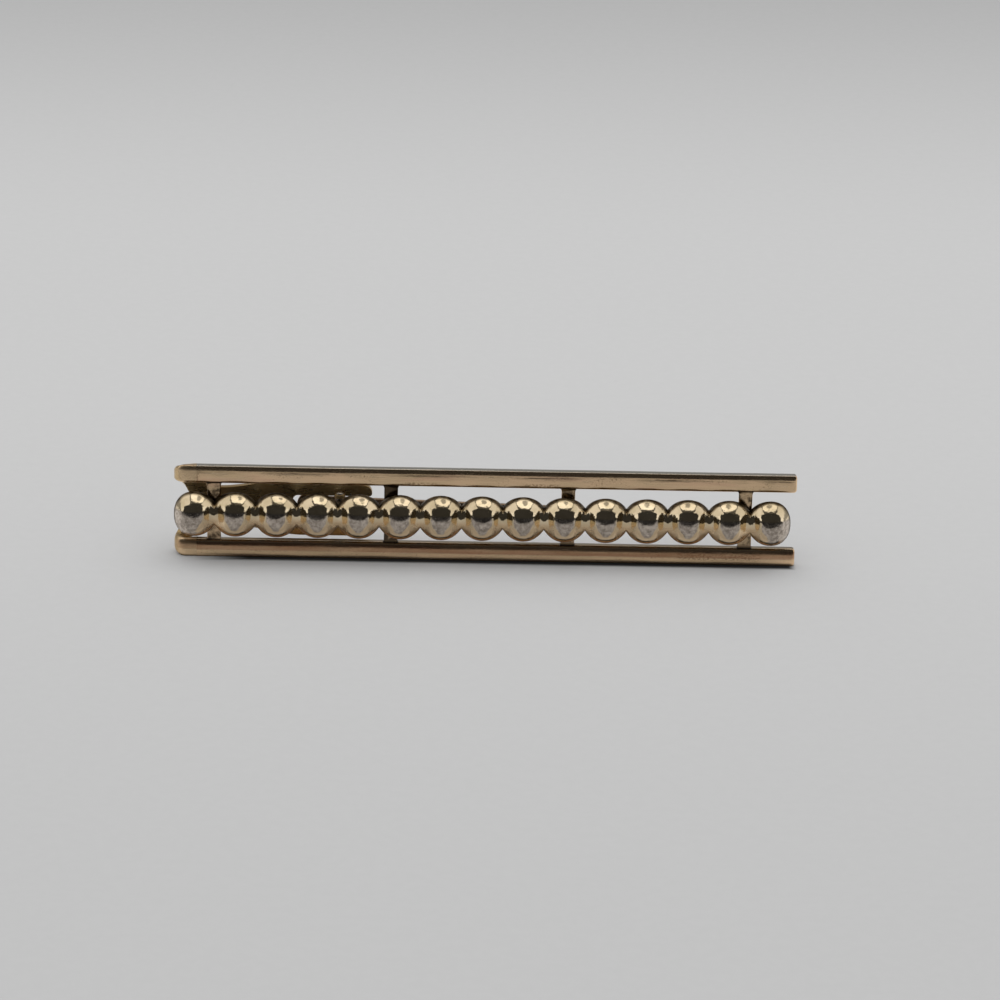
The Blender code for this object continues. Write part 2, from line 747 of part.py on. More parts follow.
def main():
    clear_scene()
    parts = new_collection("tie_bar")
    cutters = new_collection("cutters")
    make_rail("lower_rail", 0, parts)
    make_rail("upper_rail", RAIL_WIDTH + RAIL_GAP, parts)
    for number in range(1, CROSS_BAR_COUNT + 1):
        make_cross_bar(number, parts)
    make_bead_strip(parts)
    make_back_leaf(parts, cutters)
    make_hinge_pin(parts, cutters)
    make_grip_arm(parts, cutters)
    make_torsion_spring(parts, cutters)


main()
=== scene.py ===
"""The dressed tie bar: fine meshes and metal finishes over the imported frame, a pale table and the camera.

Sizes are in millimetres until a mesh is made. X is the distance from the left end, depth is measured
backwards from the rails' fronts, and Z is the height above the table.
"""

import math
import random

import bmesh
import bpy
from mathutils import Matrix, Vector


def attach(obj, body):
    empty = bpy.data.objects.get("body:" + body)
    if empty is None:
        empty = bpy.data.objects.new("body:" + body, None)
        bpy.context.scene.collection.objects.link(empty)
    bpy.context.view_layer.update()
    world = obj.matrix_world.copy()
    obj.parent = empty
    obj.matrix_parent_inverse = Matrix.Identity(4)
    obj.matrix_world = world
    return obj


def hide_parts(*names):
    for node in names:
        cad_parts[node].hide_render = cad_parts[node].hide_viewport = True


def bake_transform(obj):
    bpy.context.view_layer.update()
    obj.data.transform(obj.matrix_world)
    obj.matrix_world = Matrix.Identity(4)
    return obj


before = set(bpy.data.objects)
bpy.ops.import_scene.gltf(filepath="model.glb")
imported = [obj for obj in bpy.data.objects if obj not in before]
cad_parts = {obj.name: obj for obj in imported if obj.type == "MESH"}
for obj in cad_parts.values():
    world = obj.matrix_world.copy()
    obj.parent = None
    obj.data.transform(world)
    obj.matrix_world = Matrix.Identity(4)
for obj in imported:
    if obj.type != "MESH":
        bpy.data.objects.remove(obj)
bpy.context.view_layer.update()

MM = 0.001

BAR_LENGTH = 63.5
RAIL_WIDTH = 1.84
RAIL_THICKNESS = 1.0
RAIL_GAP = 6.05
RAIL_UPPER_ROUND = (0.26, 0.56)
LOWER_RAIL_UPPER_ROUND = (0.4, 1.0)
RAIL_LOWER_ROUND = (0.26, 0.42)
LOWER_RAIL_LOWER_ROUND = (0.17, 0.27)
RAIL_EDGE_ROUND = 0.16
RAIL_END_ROUND = 0.34
RAIL_CROWN = 0.018
RAIL_SWAY = (0.012, 0.006)
RAIL_LOWEST_ROUND = 0.06
SEAM_GAP = 0.003
CROSS_BAR_X = (4.14, 22.19, 40.24, 58.29)
CROSS_BAR_WIDTH = 1.4
CROSS_BAR_THICKNESS = 0.6
CROSS_BAR_RECESS = 0.06
CROSS_BAR_ROUND = 0.13
CROSS_BAR_SWAY = 0.012
SOLDER_SINK = 0.03
SOLDER_FLARE = 0.11
SOLDER_REACH = 0.34

DOME_COUNT = 15
DOME_PITCH = 4.195
DOME_RADIUS = 2.42
CROWN_RADIUS = 2.2
CROWN_ANGLE = math.radians(50.0)
EDGE_ANGLE = math.radians(66.0)
SKIRT_DEPTH = 0.83
SKIRT_DRAFT = 0.35
RIDGE_CROWN_RADIUS = 1.55
RIDGE_SLOPE = math.radians(44.0)
SADDLE_RADIUS = 0.8
DIP_BASE_DROP = 0.42
RIM_ROUND = 0.25
RIM_SWELL = 0.03
WAIST_SOFTNESS = 0.08
DOME_SHEET = 0.22
DOME_ROWS = 24
STRIP_START = 0.04
STRIP_BACK = 0.01
END_DOME_REACH = 2.08
END_SQUARENESS = 2.2

SEAM = 2.35
SHEET = 0.65
FOLD_INNER = 0.72
FOLD_OUTER = FOLD_INNER + SHEET
FOLD_MIDDLE = FOLD_INNER + SHEET / 2
SHOULDER_DROP = 0.67
SHOULDER_RUN = 1.1
NOTCH_DEPTH = 2.4
NOTCH_FULLNESS = 0.85
ARM_LAP = 0.3
ARM_LAP_SINK = 0.012
ARM_THINS_OVER = 1.6
NECK = (4.6, 1.95)
PADDLE = (13.2, 3.1)
PADDLE_TIP = 20.2
PADDLE_CORNER = 0.8
TINE_TAPER = (17.6, 2.36)
SLOT_HALF = 1.2
SLOT_START = 12.1
SLOT_DEEP_ROUND = 0.5
SLOT_MOUTH_ROUND = 0.28
LEAF_FRONT = 2.09
EDGE_ROUND = 0.06

PIVOT_X = 16.9
PIN_DEPTH = 1.64
PIN_RADIUS = 0.25
PIN_HEAD = 0.4
PIN_HEAD_THICKNESS = 0.18
PIN_SIDES = 40
HOLE_RADIUS = 0.29
LUG_THICKNESS = 0.4
LUG_REACH = 0.54
CHEEK_THICKNESS = 0.36
CHEEK_REACH = 0.51
CHEEK_FROM_EDGE = 0.08
PLATE_EDGE = 0.05
ARM_WIDTH = 1.8
ARM_THICKNESS = 0.45
ARM_TAIL = 4.5
ARM_EDGE = 0.1
THUMB_LENGTH = 1.4
THUMB_NECK = 1.0
THUMB_FLARE = 0.22
THUMB_RIBS = (0.6, 2.9)
RIB_DEPTH = 0.07
JAW_TEETH = (0.45, 2.75)
TOOTH_DEPTH = 0.1
RIB_PITCH = 0.46
ARM_CROWN = 0.006
ARM_PIVOT_DEPTH = 2.5
ARM_TIP_X = 40.24
ARM_TIP_DEPTH = 0.71
ARM_PAST_TIP = 0.9

SPRING_WIRE = 0.088
SPRING_TURNS = 4
SPRING_LEG = 2.5
SPRING_FOOT_X = PIVOT_X + 1.1
SPRING_BEND = 0.2
SPRING_CLEARANCE = 0.05
TURN_STEPS = 28

HEIGHT = 2 * RAIL_WIDTH + RAIL_GAP
MIDDLE = HEIGHT / 2
DOME_BASE = STRIP_BACK - SKIRT_DEPTH
CROWN_SINE = math.sin(CROWN_ANGLE)
CROWN_COSINE = math.cos(CROWN_ANGLE)
CROWN_EDGE = CROWN_RADIUS * CROWN_SINE
FLANK_RADIUS = (DOME_RADIUS - CROWN_EDGE) / (math.sin(EDGE_ANGLE) - CROWN_SINE)
DOME_RISE = CROWN_RADIUS * (1 - CROWN_COSINE) + FLANK_RADIUS * (CROWN_COSINE - math.cos(EDGE_ANGLE))
ORIGIN = Vector((-BAR_LENGTH / 2, -0.25558, 0))
ARM_SLOPE = math.atan2(ARM_PIVOT_DEPTH - ARM_TIP_DEPTH, ARM_TIP_X - PIVOT_X)
ARM_FRONT = (ARM_PIVOT_DEPTH - PIN_DEPTH) * math.cos(ARM_SLOPE)
ARM_REACH = (ARM_TIP_X - PIVOT_X) / math.cos(ARM_SLOPE) + ARM_PAST_TIP
# Where the lugs and cheeks are broader than round: how much, and at which depth
LUG_SIDE = ((0.16, LEAF_FRONT + 0.2), (0.04, LEAF_FRONT - 0.06))
CHEEK_SIDE = ((0.3, ARM_FRONT + 0.12), (0.05, ARM_FRONT - 0.12))

# Speckled wear on the rails' fronts, as seen in the photo: from and to along X, from and to in height
WORN_PLACES = (
    (-8.0, -4.8, 8.0, 8.25),
    (4.2, 7.4, 8.0, 8.3),
    (-30.6, -29.4, 8.3, 9.0),
    (20.0, 28.0, 0.6, 1.2),
)


def place(x, depth, z):
    return (Vector((x, depth, z)) + ORIGIN) * MM


def loose_body(points, faces):
    """A bmesh in metres from points in millimetres."""
    mesh = bpy.data.meshes.new("loose")
    mesh.from_pydata([place(*p) for p in points], [], faces)
    body = bmesh.new()
    body.from_mesh(mesh)
    bpy.data.meshes.remove(mesh)
    return body


def new_object(name, points, faces, materials, smooth_angle):
    """An object from points in millimetres, with points that fall together merged."""
    body = loose_body(points, faces)
    bmesh.ops.remove_doubles(body, verts=body.verts, dist=1e-8)
    return joined(name, [body], materials, smooth_angle)


def arc(centre, radius, start, end, steps):
    points = []
    for step in range(steps + 1):
        angle = math.radians(start + (end - start) * step / steps)
        points.append((centre[0] + radius * math.cos(angle), centre[1] + radius * math.sin(angle)))
    return points


def quarter(steps):
    """The angles of a quarter turn."""
    return [math.radians(90 * step / steps) for step in range(steps + 1)]


def loft(rings, closed_ends=True):
    """Quads between rings of equally many points, with a fan over each end if they are closed."""
    points = [p for ring in rings for p in ring]
    count = len(rings[0])
    faces = []
    for i in range(len(rings) - 1):
        for j in range(count):
            k = (j + 1) % count
            faces.append((i * count + j, i * count + k, (i + 1) * count + k, (i + 1) * count + j))
    if closed_ends:
        for start, ring in ((0, rings[0]), ((len(rings) - 1) * count, rings[-1])):
            points.append(tuple(sum(values) / count for values in zip(*ring)))
            hub = len(points) - 1
            faces += [(hub, start + j, start + (j + 1) % count) for j in range(count)]
    return points, faces


def flat_plate(outline, holes, thickness, edge):
    """A plate from a 2D outline with round edges, lying in its own XY plane, in millimetres."""
    curve = bpy.data.curves.new("plate", "CURVE")
    curve.dimensions = "2D"
    curve.fill_mode = "BOTH"
    curve.extrude = thickness / 2 - edge
    curve.bevel_depth = edge
    curve.bevel_resolution = 2
    curve.offset = -edge
    for loop in [outline] + holes:
        spline = curve.splines.new("POLY")
        spline.points.add(len(loop) - 1)
        for point, (u, v) in zip(spline.points, loop):
            point.co = (u, v, 0, 1)
        spline.use_cyclic_u = True
    guide = bpy.data.objects.new("plate", curve)
    bpy.context.scene.collection.objects.link(guide)
    bpy.context.view_layer.update()
    evaluated = guide.evaluated_get(bpy.context.evaluated_depsgraph_get())
    mesh = bpy.data.meshes.new_from_object(evaluated)
    bpy.data.objects.remove(guide, do_unlink=True)
    body = bmesh.new()
    body.from_mesh(mesh)
    bpy.data.meshes.remove(mesh)
    bmesh.ops.remove_doubles(body, verts=body.verts, dist=1e-4)
    return body


def joined(name, bodies, materials, smooth_angle):
    """Bmeshes in their places, in metres, as one object. Edges over an angle in degrees are sharp."""
    whole = bmesh.new()
    for body in bodies:
        bmesh.ops.recalc_face_normals(body, faces=body.faces)
        piece = bpy.data.meshes.new(name)
        body.to_mesh(piece)
        body.free()
        whole.from_mesh(piece)
        bpy.data.meshes.remove(piece)
    mesh = bpy.data.meshes.new(name)
    whole.to_mesh(mesh)
    whole.free()
    for material in materials:
        mesh.materials.append(material)
    mesh.shade_smooth()
    mesh.set_sharp_from_angle(angle=math.radians(smooth_angle))
    thing = bpy.data.objects.new(name, mesh)
    bpy.context.scene.collection.objects.link(thing)
    return thing


# Node helpers


class Nodes:
    """Short calls for building a node tree."""

    def __init__(self, tree):
        self.nodes = tree.nodes
        self.links = tree.links

    def put(self, value, socket):
        if isinstance(value, bpy.types.NodeSocket):
            self.links.new(value, socket)
        else:
            socket.default_value = value

    def node(self, kind, inputs=None, **settings):
        """A new node with its settings, and with values or other nodes' outputs in its inputs."""
        node = self.nodes.new(kind)
        for key, value in settings.items():
            setattr(node, key, value)
        for key, value in (inputs or {}).items():
            self.put(value, node.inputs[key])
        return node

    def split(self, vector):
        return self.node("ShaderNodeSeparateXYZ", {"Vector": vector}).outputs

    def span(self, value, low, high, to_low=0.0, to_high=1.0, smooth=True):
        """A value led from one range to another and held at its ends."""
        inputs = {"Value": value, "From Min": low, "From Max": high, "To Min": to_low, "To Max": to_high}
        kind = "SMOOTHSTEP" if smooth else "LINEAR"
        return self.node("ShaderNodeMapRange", inputs, interpolation_type=kind).outputs["Result"]

    def maths(self, operation, a, b=0.0):
        return self.node("ShaderNodeMath", {0: a, 1: b}, operation=operation).outputs["Value"]

    def times(self, a, b):
        return self.maths("MULTIPLY", a, b)

    def plus(self, a, b):
        return self.maths("ADD", a, b)

    def minus(self, a, b):
        return self.maths("SUBTRACT", a, b)

    def larger(self, a, b):
        return self.maths("MAXIMUM", a, b)

    def size_of(self, a):
        return self.maths("ABSOLUTE", a)

    def mix(self, share, a, b, kind="RGBA"):
        inputs = {"Factor": share, "A": a, "B": b}
        return self.node("ShaderNodeMix", inputs, data_type=kind).outputs["Result"]


class Surface(Nodes):
    """A material whose patterns are placed in millimetres."""

    def __init__(self, name):
        self.material = bpy.data.materials.new(name)
        self.material.use_nodes = True
        super().__init__(self.material.node_tree)
        self.shader = self.nodes["Principled BSDF"]

    def set(self, name, value):
        self.put(value, self.shader.inputs[name])

    def coords(self, scale=(1, 1, 1), turn=(0, 0, 0), shift=(0, 0, 0)):
        """Object coordinates in millimetres, stretched and turned."""
        inputs = {
            "Vector": self.node("ShaderNodeTexCoord").outputs["Object"],
            "Rotation": [math.radians(a) for a in turn],
            "Scale": [s / MM for s in scale],
            "Location": shift,
        }
        return self.node("ShaderNodeMapping", inputs, vector_type="POINT").outputs["Vector"]

    def axis(self, name):
        """One object coordinate in millimetres."""
        return self.split(self.coords())[name]

    def band(self, name, low, high, soft, most=1.0):
        """`most` between two places on an axis, 0 beyond them."""
        rise = self.span(self.axis(name), low - soft, low, 0.0, most)
        return self.times(rise, self.span(self.axis(name), high, high + soft, 1.0, 0.0))

    def noise(self, grain, detail=3.0, rough=0.55, warp=0.0, shift=(0, 0, 0), turn=(0, 0, 0), scale=1.0):
        """A cloudy pattern; `grain` is its fineness per millimetre, in all directions or along X, Y and Z."""
        fineness = grain if isinstance(grain, tuple) else (grain, grain, grain)
        vector = self.coords(fineness, turn, shift)
        inputs = {"Vector": vector, "Scale": scale, "Detail": detail, "Roughness": rough, "Distortion": warp}
        return self.node("ShaderNodeTexNoise", inputs).outputs["Fac"]

    def stained(self, tint, mask, share, colour):
        return self.mix(self.times(mask, share), tint, colour)

    def bump(self, height, distance, base=None):
        inputs = {"Strength": 1.0, "Distance": distance * MM, "Height": height}
        if base is not None:
            inputs["Normal"] = base
        return self.node("ShaderNodeBump", inputs).outputs["Normal"]

    def scratches(self, *directions):
        """Thin straight marks, 1 on a mark: for each direction its turn, stretch, sparseness and seed."""
        marks = None
        for turn, stretch, sparse, seed in directions:
            shift = (seed, seed * 0.37, -seed)
            fine = self.noise((1.0 / stretch, 1.0, 1.0), 2.0, 0.5, shift=shift, turn=turn, scale=7.0)
            found = self.span(fine, sparse, sparse + 0.03)
            marks = found if marks is None else self.larger(marks, found)
        return marks

    def crevice(self, reach):
        """1 in narrow gaps between pieces, 0 on open faces."""
        openness = self.node("ShaderNodeAmbientOcclusion", {"Distance": reach * MM}, samples=8)
        return self.span(openness.outputs["AO"], 0.35, 0.85, 1.0, 0.0)


# Metals


def rgb(r, g, b):
    return (r, g, b, 1.0)


# Dark red of a painted reflection: a band across the lower rail's front and the leaf arms' fronts
PAINTED_REFLECTION_RED = rgb(0.36, 0.17, 0.09)
PAPER_TONE = 0.52


def rail_stains(t):
    """Dark specks: in scattered patches, in the places of wear and along the lower rail."""
    specks = t.noise((5.0, 7.0, 7.0), 3.0, 0.7, shift=(2, 9, 4))
    where = t.noise((0.3, 0.6, 0.6), 2.0, 0.5, shift=(5, 5, 5))
    stain = t.times(t.span(specks, 0.56, 0.66), t.span(where, 0.5, 0.66))
    for start, end, low, high in WORN_PLACES:
        patch_mask = t.times(t.band("X", start, end, 0.5), t.band("Z", low, high, 0.2))
        stain = t.larger(stain, t.times(t.span(specks, 0.48, 0.58), patch_mask))
    low_stain = t.times(t.span(specks, 0.52, 0.64), t.band("Z", 0.75, 1.3, 0.35, 0.5))
    return t.larger(stain, low_stain)


def rail_metal(name="rail_gold", tarnish_and_shade=None):
    """Rose-tinted gold wire: drawn grain, fine scratches, stained patches, and upward faces greyed by wear
    and by a painted reflection.
    """
    t = Surface(name)
    patches = t.noise((0.16, 0.5, 0.5), 3.0, 0.6, 0.4)
    tint = t.mix(t.span(patches, 0.35, 0.65), rgb(0.86, 0.61, 0.38), rgb(0.80, 0.59, 0.36))
    reddish = t.noise((0.09, 0.4, 0.9), 2.0, 0.5, 0.2, shift=(7, 3, 1))
    tint = t.mix(t.span(reddish, 0.52, 0.7, 0.0, 0.55), tint, rgb(0.80, 0.50, 0.34))
    grain = t.noise((0.35, 9.0, 9.0), 4.0, 0.6)
    tint = t.mix(t.span(grain, 0.3, 0.7, 0.0, 0.16), tint, rgb(0.45, 0.32, 0.2))
    stain = rail_stains(t)
    tint = t.stained(tint, stain, 0.7, rgb(0.17, 0.1, 0.05))
    gap = t.crevice(0.35)
    tint = t.stained(tint, gap, 0.75, rgb(0.14, 0.075, 0.04))
    marks = t.scratches(((0, 4, 2), 14.0, 0.66, 3.0), ((0, -11, -7), 9.0, 0.69, 8.0))
    tint = t.stained(tint, marks, 0.25, rgb(0.95, 0.78, 0.58))
    height = t.axis("Z")
    # Painted reflection: a dark red band low on the lower rail's front, broken by the reddish patches
    band = t.times(t.span(height, 0.66, 0.86), t.span(height, 1.5, 1.62, 1.0, 0.0))
    tint = t.mix(t.times(band, t.span(reddish, 0.3, 0.6, 0.35, 0.8)), tint, PAINTED_REFLECTION_RED)
    # Upward faces turn grey, partly wear and partly a painted reflection: darker on the lower rail, whose top
    # mirrors the domes, paler on the upper rail, which mirrors the backdrop
    upward = t.split(t.node("ShaderNodeTexCoord").outputs["Normal"])["Z"]
    top_wear_and_reflection = t.times(t.span(upward, 0.6, 0.9), t.span(height, 3.0, 6.0, 0.75, 0.9))
    grey = t.mix(t.span(height, 3.0, 6.0), rgb(0.42, 0.37, 0.3), rgb(0.57, 0.55, 0.49))
    tint = t.mix(top_wear_and_reflection, tint, grey)
    # Cross bars: dark mottling, heaviest near the second bar, and a dark foot just above the lower rail:
    # partly tarnish and solder stain, partly painted shade from the domes and rails over them
    if tarnish_and_shade:
        blotch = t.noise(1.1, 4.0, 0.65, 0.3, shift=(3, 8, 2))
        from_second = t.size_of(t.plus(t.axis("X"), -CROSS_BAR_X[1] - ORIGIN.x))
        blotch = t.plus(blotch, t.span(from_second, 6.0, 12.0, 0.09, -0.1))
        foot = t.span(height, RAIL_WIDTH + 0.1, RAIL_WIDTH + 0.75, 0.92, 0.0)
        foot = t.times(foot, t.span(t.axis("X"), -26.0, -20.0, 0.3, 1.0))
        tint = t.mix(t.larger(t.span(blotch, 0.34, 0.54, 0.2, 0.94), foot), tint, tarnish_and_shade)
    t.set("Base Color", tint)
    rough = t.span(patches, 0.3, 0.7, 0.13, 0.2)
    rough = t.plus(rough, t.span(grain, 0.3, 0.7, -0.03, 0.05))
    t.set("Roughness", t.plus(rough, t.times(gap, 0.2)))
    relief = t.minus(t.minus(grain, t.times(marks, 0.8)), t.times(stain, 1.2))
    waves = t.bump(t.noise((0.5, 1.2, 1.2), 2.0), 0.012)
    t.set("Normal", t.bump(relief, 0.0022, waves))
    t.set("Metallic", 1.0)
    return t.material


def dome_metal():
    """Polished pale gold: haze, hairlines and pits, grey in a tongue on each dome's front and, as a painted
    reflection, on both ends; painted warm reflection and shade low down.
    """
    t = Surface("dome_gold")
    haze = t.noise(0.45, 4.0, 0.6, 0.5)
    tint = t.mix(t.span(haze, 0.35, 0.65), rgb(0.86, 0.71, 0.49), rgb(0.7, 0.57, 0.37))
    # Painted warm reflection: a warmer, deeper gold on each dome's lower half, darker still towards the dips
    low = t.span(t.axis("Z"), MIDDLE + 0.1, MIDDLE - 0.7)
    tint = t.mix(low, tint, rgb(0.88, 0.67, 0.43))
    local = dome_offset(t)
    dip = t.times(t.span(local, 1.5, 1.8), low)
    tint = t.mix(dip, tint, rgb(0.78, 0.57, 0.35))
    # Grey: a tongue low on each dome's front, and on the end domes' outer sides a painted reflection
    patch_mask = grey_tongue_and_ends(t)
    fine = t.noise(2.2, 5.0, 0.75, shift=(4, 1, 8))
    grey = t.mix(t.span(fine, 0.35, 0.65), rgb(0.325, 0.274, 0.228), rgb(0.71, 0.62, 0.53))
    tint = t.mix(patch_mask, tint, grey)
    base = DOME_BASE + ORIGIN.y
    rim = t.span(t.axis("Y"), base - 0.58, base - 0.14)
    broken = t.span(t.noise(1.6, 3.0, 0.6), 0.3, 0.6, 0.7, 1.0)
    tint = t.mix(t.times(rim, broken), tint, rgb(0.075, 0.05, 0.022))
    # Painted shade: the lowest part of each dome darkened, for the shade under the bar that it mirrors
    foot = t.span(t.axis("Z"), MIDDLE - 2.3, MIDDLE - 1.75, 0.8, 0.0)
    tint = t.mix(foot, tint, rgb(0.16, 0.1, 0.05))
    pit = t.span(t.noise(6.0, 2.0, 0.6), 0.7, 0.76)
    tint = t.stained(tint, pit, 0.5, rgb(0.3, 0.24, 0.15))
    t.set("Base Color", tint)
    hair = t.scratches(((12, 35, 20), 12.0, 0.68, 5.0), ((-20, -50, 70), 10.0, 0.69, 11.0))
    rough = t.span(haze, 0.3, 0.75, 0.05, 0.13)
    for mask, more in ((hair, 0.1), (patch_mask, 0.1), (rim, 0.3)):
        rough = t.plus(rough, t.times(mask, more))
    t.set("Roughness", t.plus(rough, t.times(low, t.span(local, 0.85, 1.15, 0.02, 0.2))))
    dents = t.bump(t.noise(0.9, 3.0, 0.5), 0.05)
    relief = t.plus(t.plus(t.times(hair, 0.6), pit), t.times(t.times(fine, patch_mask), 0.8))
    t.set("Normal", t.bump(t.times(relief, -1.0), 0.0018, dents))
    t.set("Metallic", 1.0)
    return t.material


def pitches_along(t):
    """Place along the strip from its left end, in domes."""
    return t.plus(t.times(t.axis("X"), 1 / DOME_PITCH), -(STRIP_START + ORIGIN.x) / DOME_PITCH)


def dome_offset(t):
    """Distance along the strip from the nearest dome's middle, in millimetres."""
    return t.times(t.size_of(t.minus(t.maths("FRACT", pitches_along(t)), 0.5)), DOME_PITCH)


def grey_tongue_and_ends(t):
    """1 where the gold turns grey: a tongue low on each dome's front, and the end domes' outer sides, where
    the grey is a painted reflection in place of a neighbour's golden one.
    """
    wobble = t.noise(1.4, 3.0, 0.6, shift=(9, 2, 6))
    wobble = t.span(wobble, 0.2, 0.8, -0.14, 0.14, smooth=False)
    height = t.axis("Z")
    width = t.span(height, MIDDLE - 1.5, MIDDLE + 0.15, 0.25, 1.02)
    inside = t.minus(t.plus(width, wobble), dome_offset(t))
    tongue = t.times(t.span(inside, -0.05, 0.1), t.span(height, MIDDLE - 1.4, MIDDLE - 1.05))
    outward = t.size_of(t.minus(pitches_along(t), DOME_COUNT / 2))
    ends = t.span(outward, DOME_COUNT / 2 - 0.62, DOME_COUNT / 2 - 0.52)
    return t.times(t.larger(tongue, ends), t.span(height, MIDDLE + 0.9, MIDDLE + 0.6))


def rim_metal():
    """The sheet's hollow side and cut edge: dull, darkened brass."""
    t = Surface("dome_cut_edge")
    wear = t.noise((1.8, 3.0, 3.0), 4.0, 0.65)
    t.set("Base Color", t.mix(t.span(wear, 0.4, 0.7), rgb(0.07, 0.05, 0.025), rgb(0.17, 0.125, 0.065)))
    t.set("Roughness", t.span(wear, 0.3, 0.7, 0.5, 0.32))
    t.set("Normal", t.bump(wear, 0.008))
    t.set("Metallic", 1.0)
    return t.material


def sheet_metal(name, bright, dull, rough, seed, front=None):
    """Rolled spring brass with grain, brown oxide and scratches, brighter in front if asked."""
    t = Surface(name)
    patches = t.noise((0.35, 0.5, 0.5), 4.0, 0.6, 0.6, shift=(seed, 0, seed))
    tint = t.mix(t.span(patches, 0.32, 0.68), bright, dull)
    metallic = t.span(patches, 0.3, 0.7, 0.92, 0.72)
    if front:
        ahead = t.span(t.axis("Y"), 0.1, 1.1, 1.0, 0.0)
        inward = t.span(t.plus(t.axis("X"), t.times(patches, 0.9)), -31.2, -30.5, 0.25, 1.0)
        tint = t.mix(t.times(ahead, inward), tint, front)
        # The lower rail's painted dark red reflection, carried round onto the arms' fronts
        band = t.times(t.band("Z", 0.86, 1.5, 0.16, 0.5), inward)
        tint = t.mix(t.times(band, ahead), tint, PAINTED_REFLECTION_RED)
        metallic = t.larger(metallic, ahead)
    grain = t.noise((0.5, 8.0, 8.0), 4.0, 0.6, shift=(seed, seed, 0))
    tint = t.mix(t.span(grain, 0.3, 0.7, 0.0, 0.2), tint, rgb(0.2, 0.15, 0.08))
    gap = t.crevice(0.5)
    tint = t.stained(tint, gap, 0.7, rgb(0.1, 0.065, 0.035))
    marks = t.scratches(((0, 17 + seed, 9), 11.0, 0.66, seed), ((0, -28, -15), 8.0, 0.68, seed + 4.0))
    tint = t.stained(tint, marks, 0.3, rgb(0.85, 0.75, 0.52))
    t.set("Base Color", tint)
    dulled = t.span(patches, 0.3, 0.7, rough - 0.05, rough + 0.08)
    dulled = t.plus(dulled, t.span(grain, 0.3, 0.7, -0.03, 0.04))
    t.set("Roughness", t.plus(dulled, t.times(gap, 0.2)))
    waves = t.bump(t.noise(0.6, 2.0), 0.02)
    t.set("Normal", t.bump(t.minus(grain, t.times(marks, 0.8)), 0.003, waves))
    t.set("Metallic", metallic)
    return t.material


def steel(name, rough, seed):
    """Dull drawn steel with a few brown stains."""
    t = Surface(name)
    patches = t.noise(2.2, 4.0, 0.6, shift=(seed, 0, 0))
    tint = t.mix(t.span(patches, 0.35, 0.65), rgb(0.56, 0.54, 0.5), rgb(0.4, 0.37, 0.32))
    stain = t.span(t.noise(4.0, 3.0, 0.7, shift=(0, seed, 0)), 0.6, 0.72)
    t.set("Base Color", t.stained(tint, stain, 0.6, rgb(0.25, 0.16, 0.09)))
    t.set("Roughness", t.span(patches, 0.3, 0.7, rough, rough + 0.14))
    t.set("Normal", t.bump(patches, 0.004))
    t.set("Metallic", 1.0)
    return t.material


# Rails


def wire_section(low, high, thickness, upper, lower, edge, crown):
    """A flattened wire's outline as depths and heights, its two front edges oval and its back ones round."""
    outline = arc((thickness - edge, high - edge), edge, 0, 90, 4)
    for step in range(17):
        angle = math.pi / 2 * step / 16
        outline.append((upper[0] * (1 - math.sin(angle)), high - upper[1] * (1 - math.cos(angle))))
    top, bottom = high - upper[1], low + lower[1]
    for step in range(1, 8):
        share = step / 8
        outline.append((-crown * 4 * share * (1 - share), top + (bottom - top) * share))
    for step in range(13):
        angle = math.pi / 2 * step / 12
        outline.append((lower[0] * (1 - math.cos(angle)), low + lower[1] * (1 - math.sin(angle))))
    outline += arc((thickness - edge, low + edge), edge, 270, 360, 4)
    return outline


def front_rounds(bottom):
    """The upper and lower front rounds of the rail that starts at a height."""
    if bottom > MIDDLE:
        return RAIL_UPPER_ROUND, RAIL_LOWER_ROUND
    return LOWER_RAIL_UPPER_ROUND, LOWER_RAIL_LOWER_ROUND


def rail_ring(x, bottom, inset, crown, sway):
    """The flattened wire's section at one place along it."""
    rounds = front_rounds(bottom)
    upper, lower = ([max(size - inset, RAIL_LOWEST_ROUND) for size in sizes] for sizes in rounds)
    edge = max(RAIL_EDGE_ROUND - inset, 0.04)
    low, high = bottom + inset, bottom + RAIL_WIDTH - inset
    outline = wire_section(low, high, RAIL_THICKNESS - 2 * inset, upper, lower, edge, crown)
    return [(x, d + inset + sway[0], z + sway[1]) for d, z in outline]


def make_rail(name, bottom, node, seed, materials):
    """A rail from the leaf's seam to its rounded end, swaying by about a hundredth of a millimetre."""
    start, straight_end = SEAM + SEAM_GAP, BAR_LENGTH - RAIL_END_ROUND
    inward = 1 if bottom < MIDDLE else -1
    stations = [(start + (straight_end - start) * step / 180, 0.0) for step in range(181)]
    for angle in quarter(8)[1:]:
        end = BAR_LENGTH - RAIL_END_ROUND * (1 - math.sin(angle))
        stations.append((end, RAIL_END_ROUND * (1 - math.cos(angle))))
    rings = []
    for x, inset in stations:
        fade = min((x - start) / 6, 1.0)
        sway = (
            RAIL_SWAY[0] * fade * math.sin(x * 0.21 + seed),
            RAIL_SWAY[1] * fade * (inward + inward * math.sin(x * 0.33 + 2 * seed)),
        )
        crown = RAIL_CROWN * (1 + 0.4 * math.sin(x * 0.5 + seed))
        rings.append(rail_ring(x, bottom, inset, crown if inset == 0 else 0.0, sway))
    rail = new_object(name, *loft(rings), materials, 50)
    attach(rail, "frame")
    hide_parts(node)


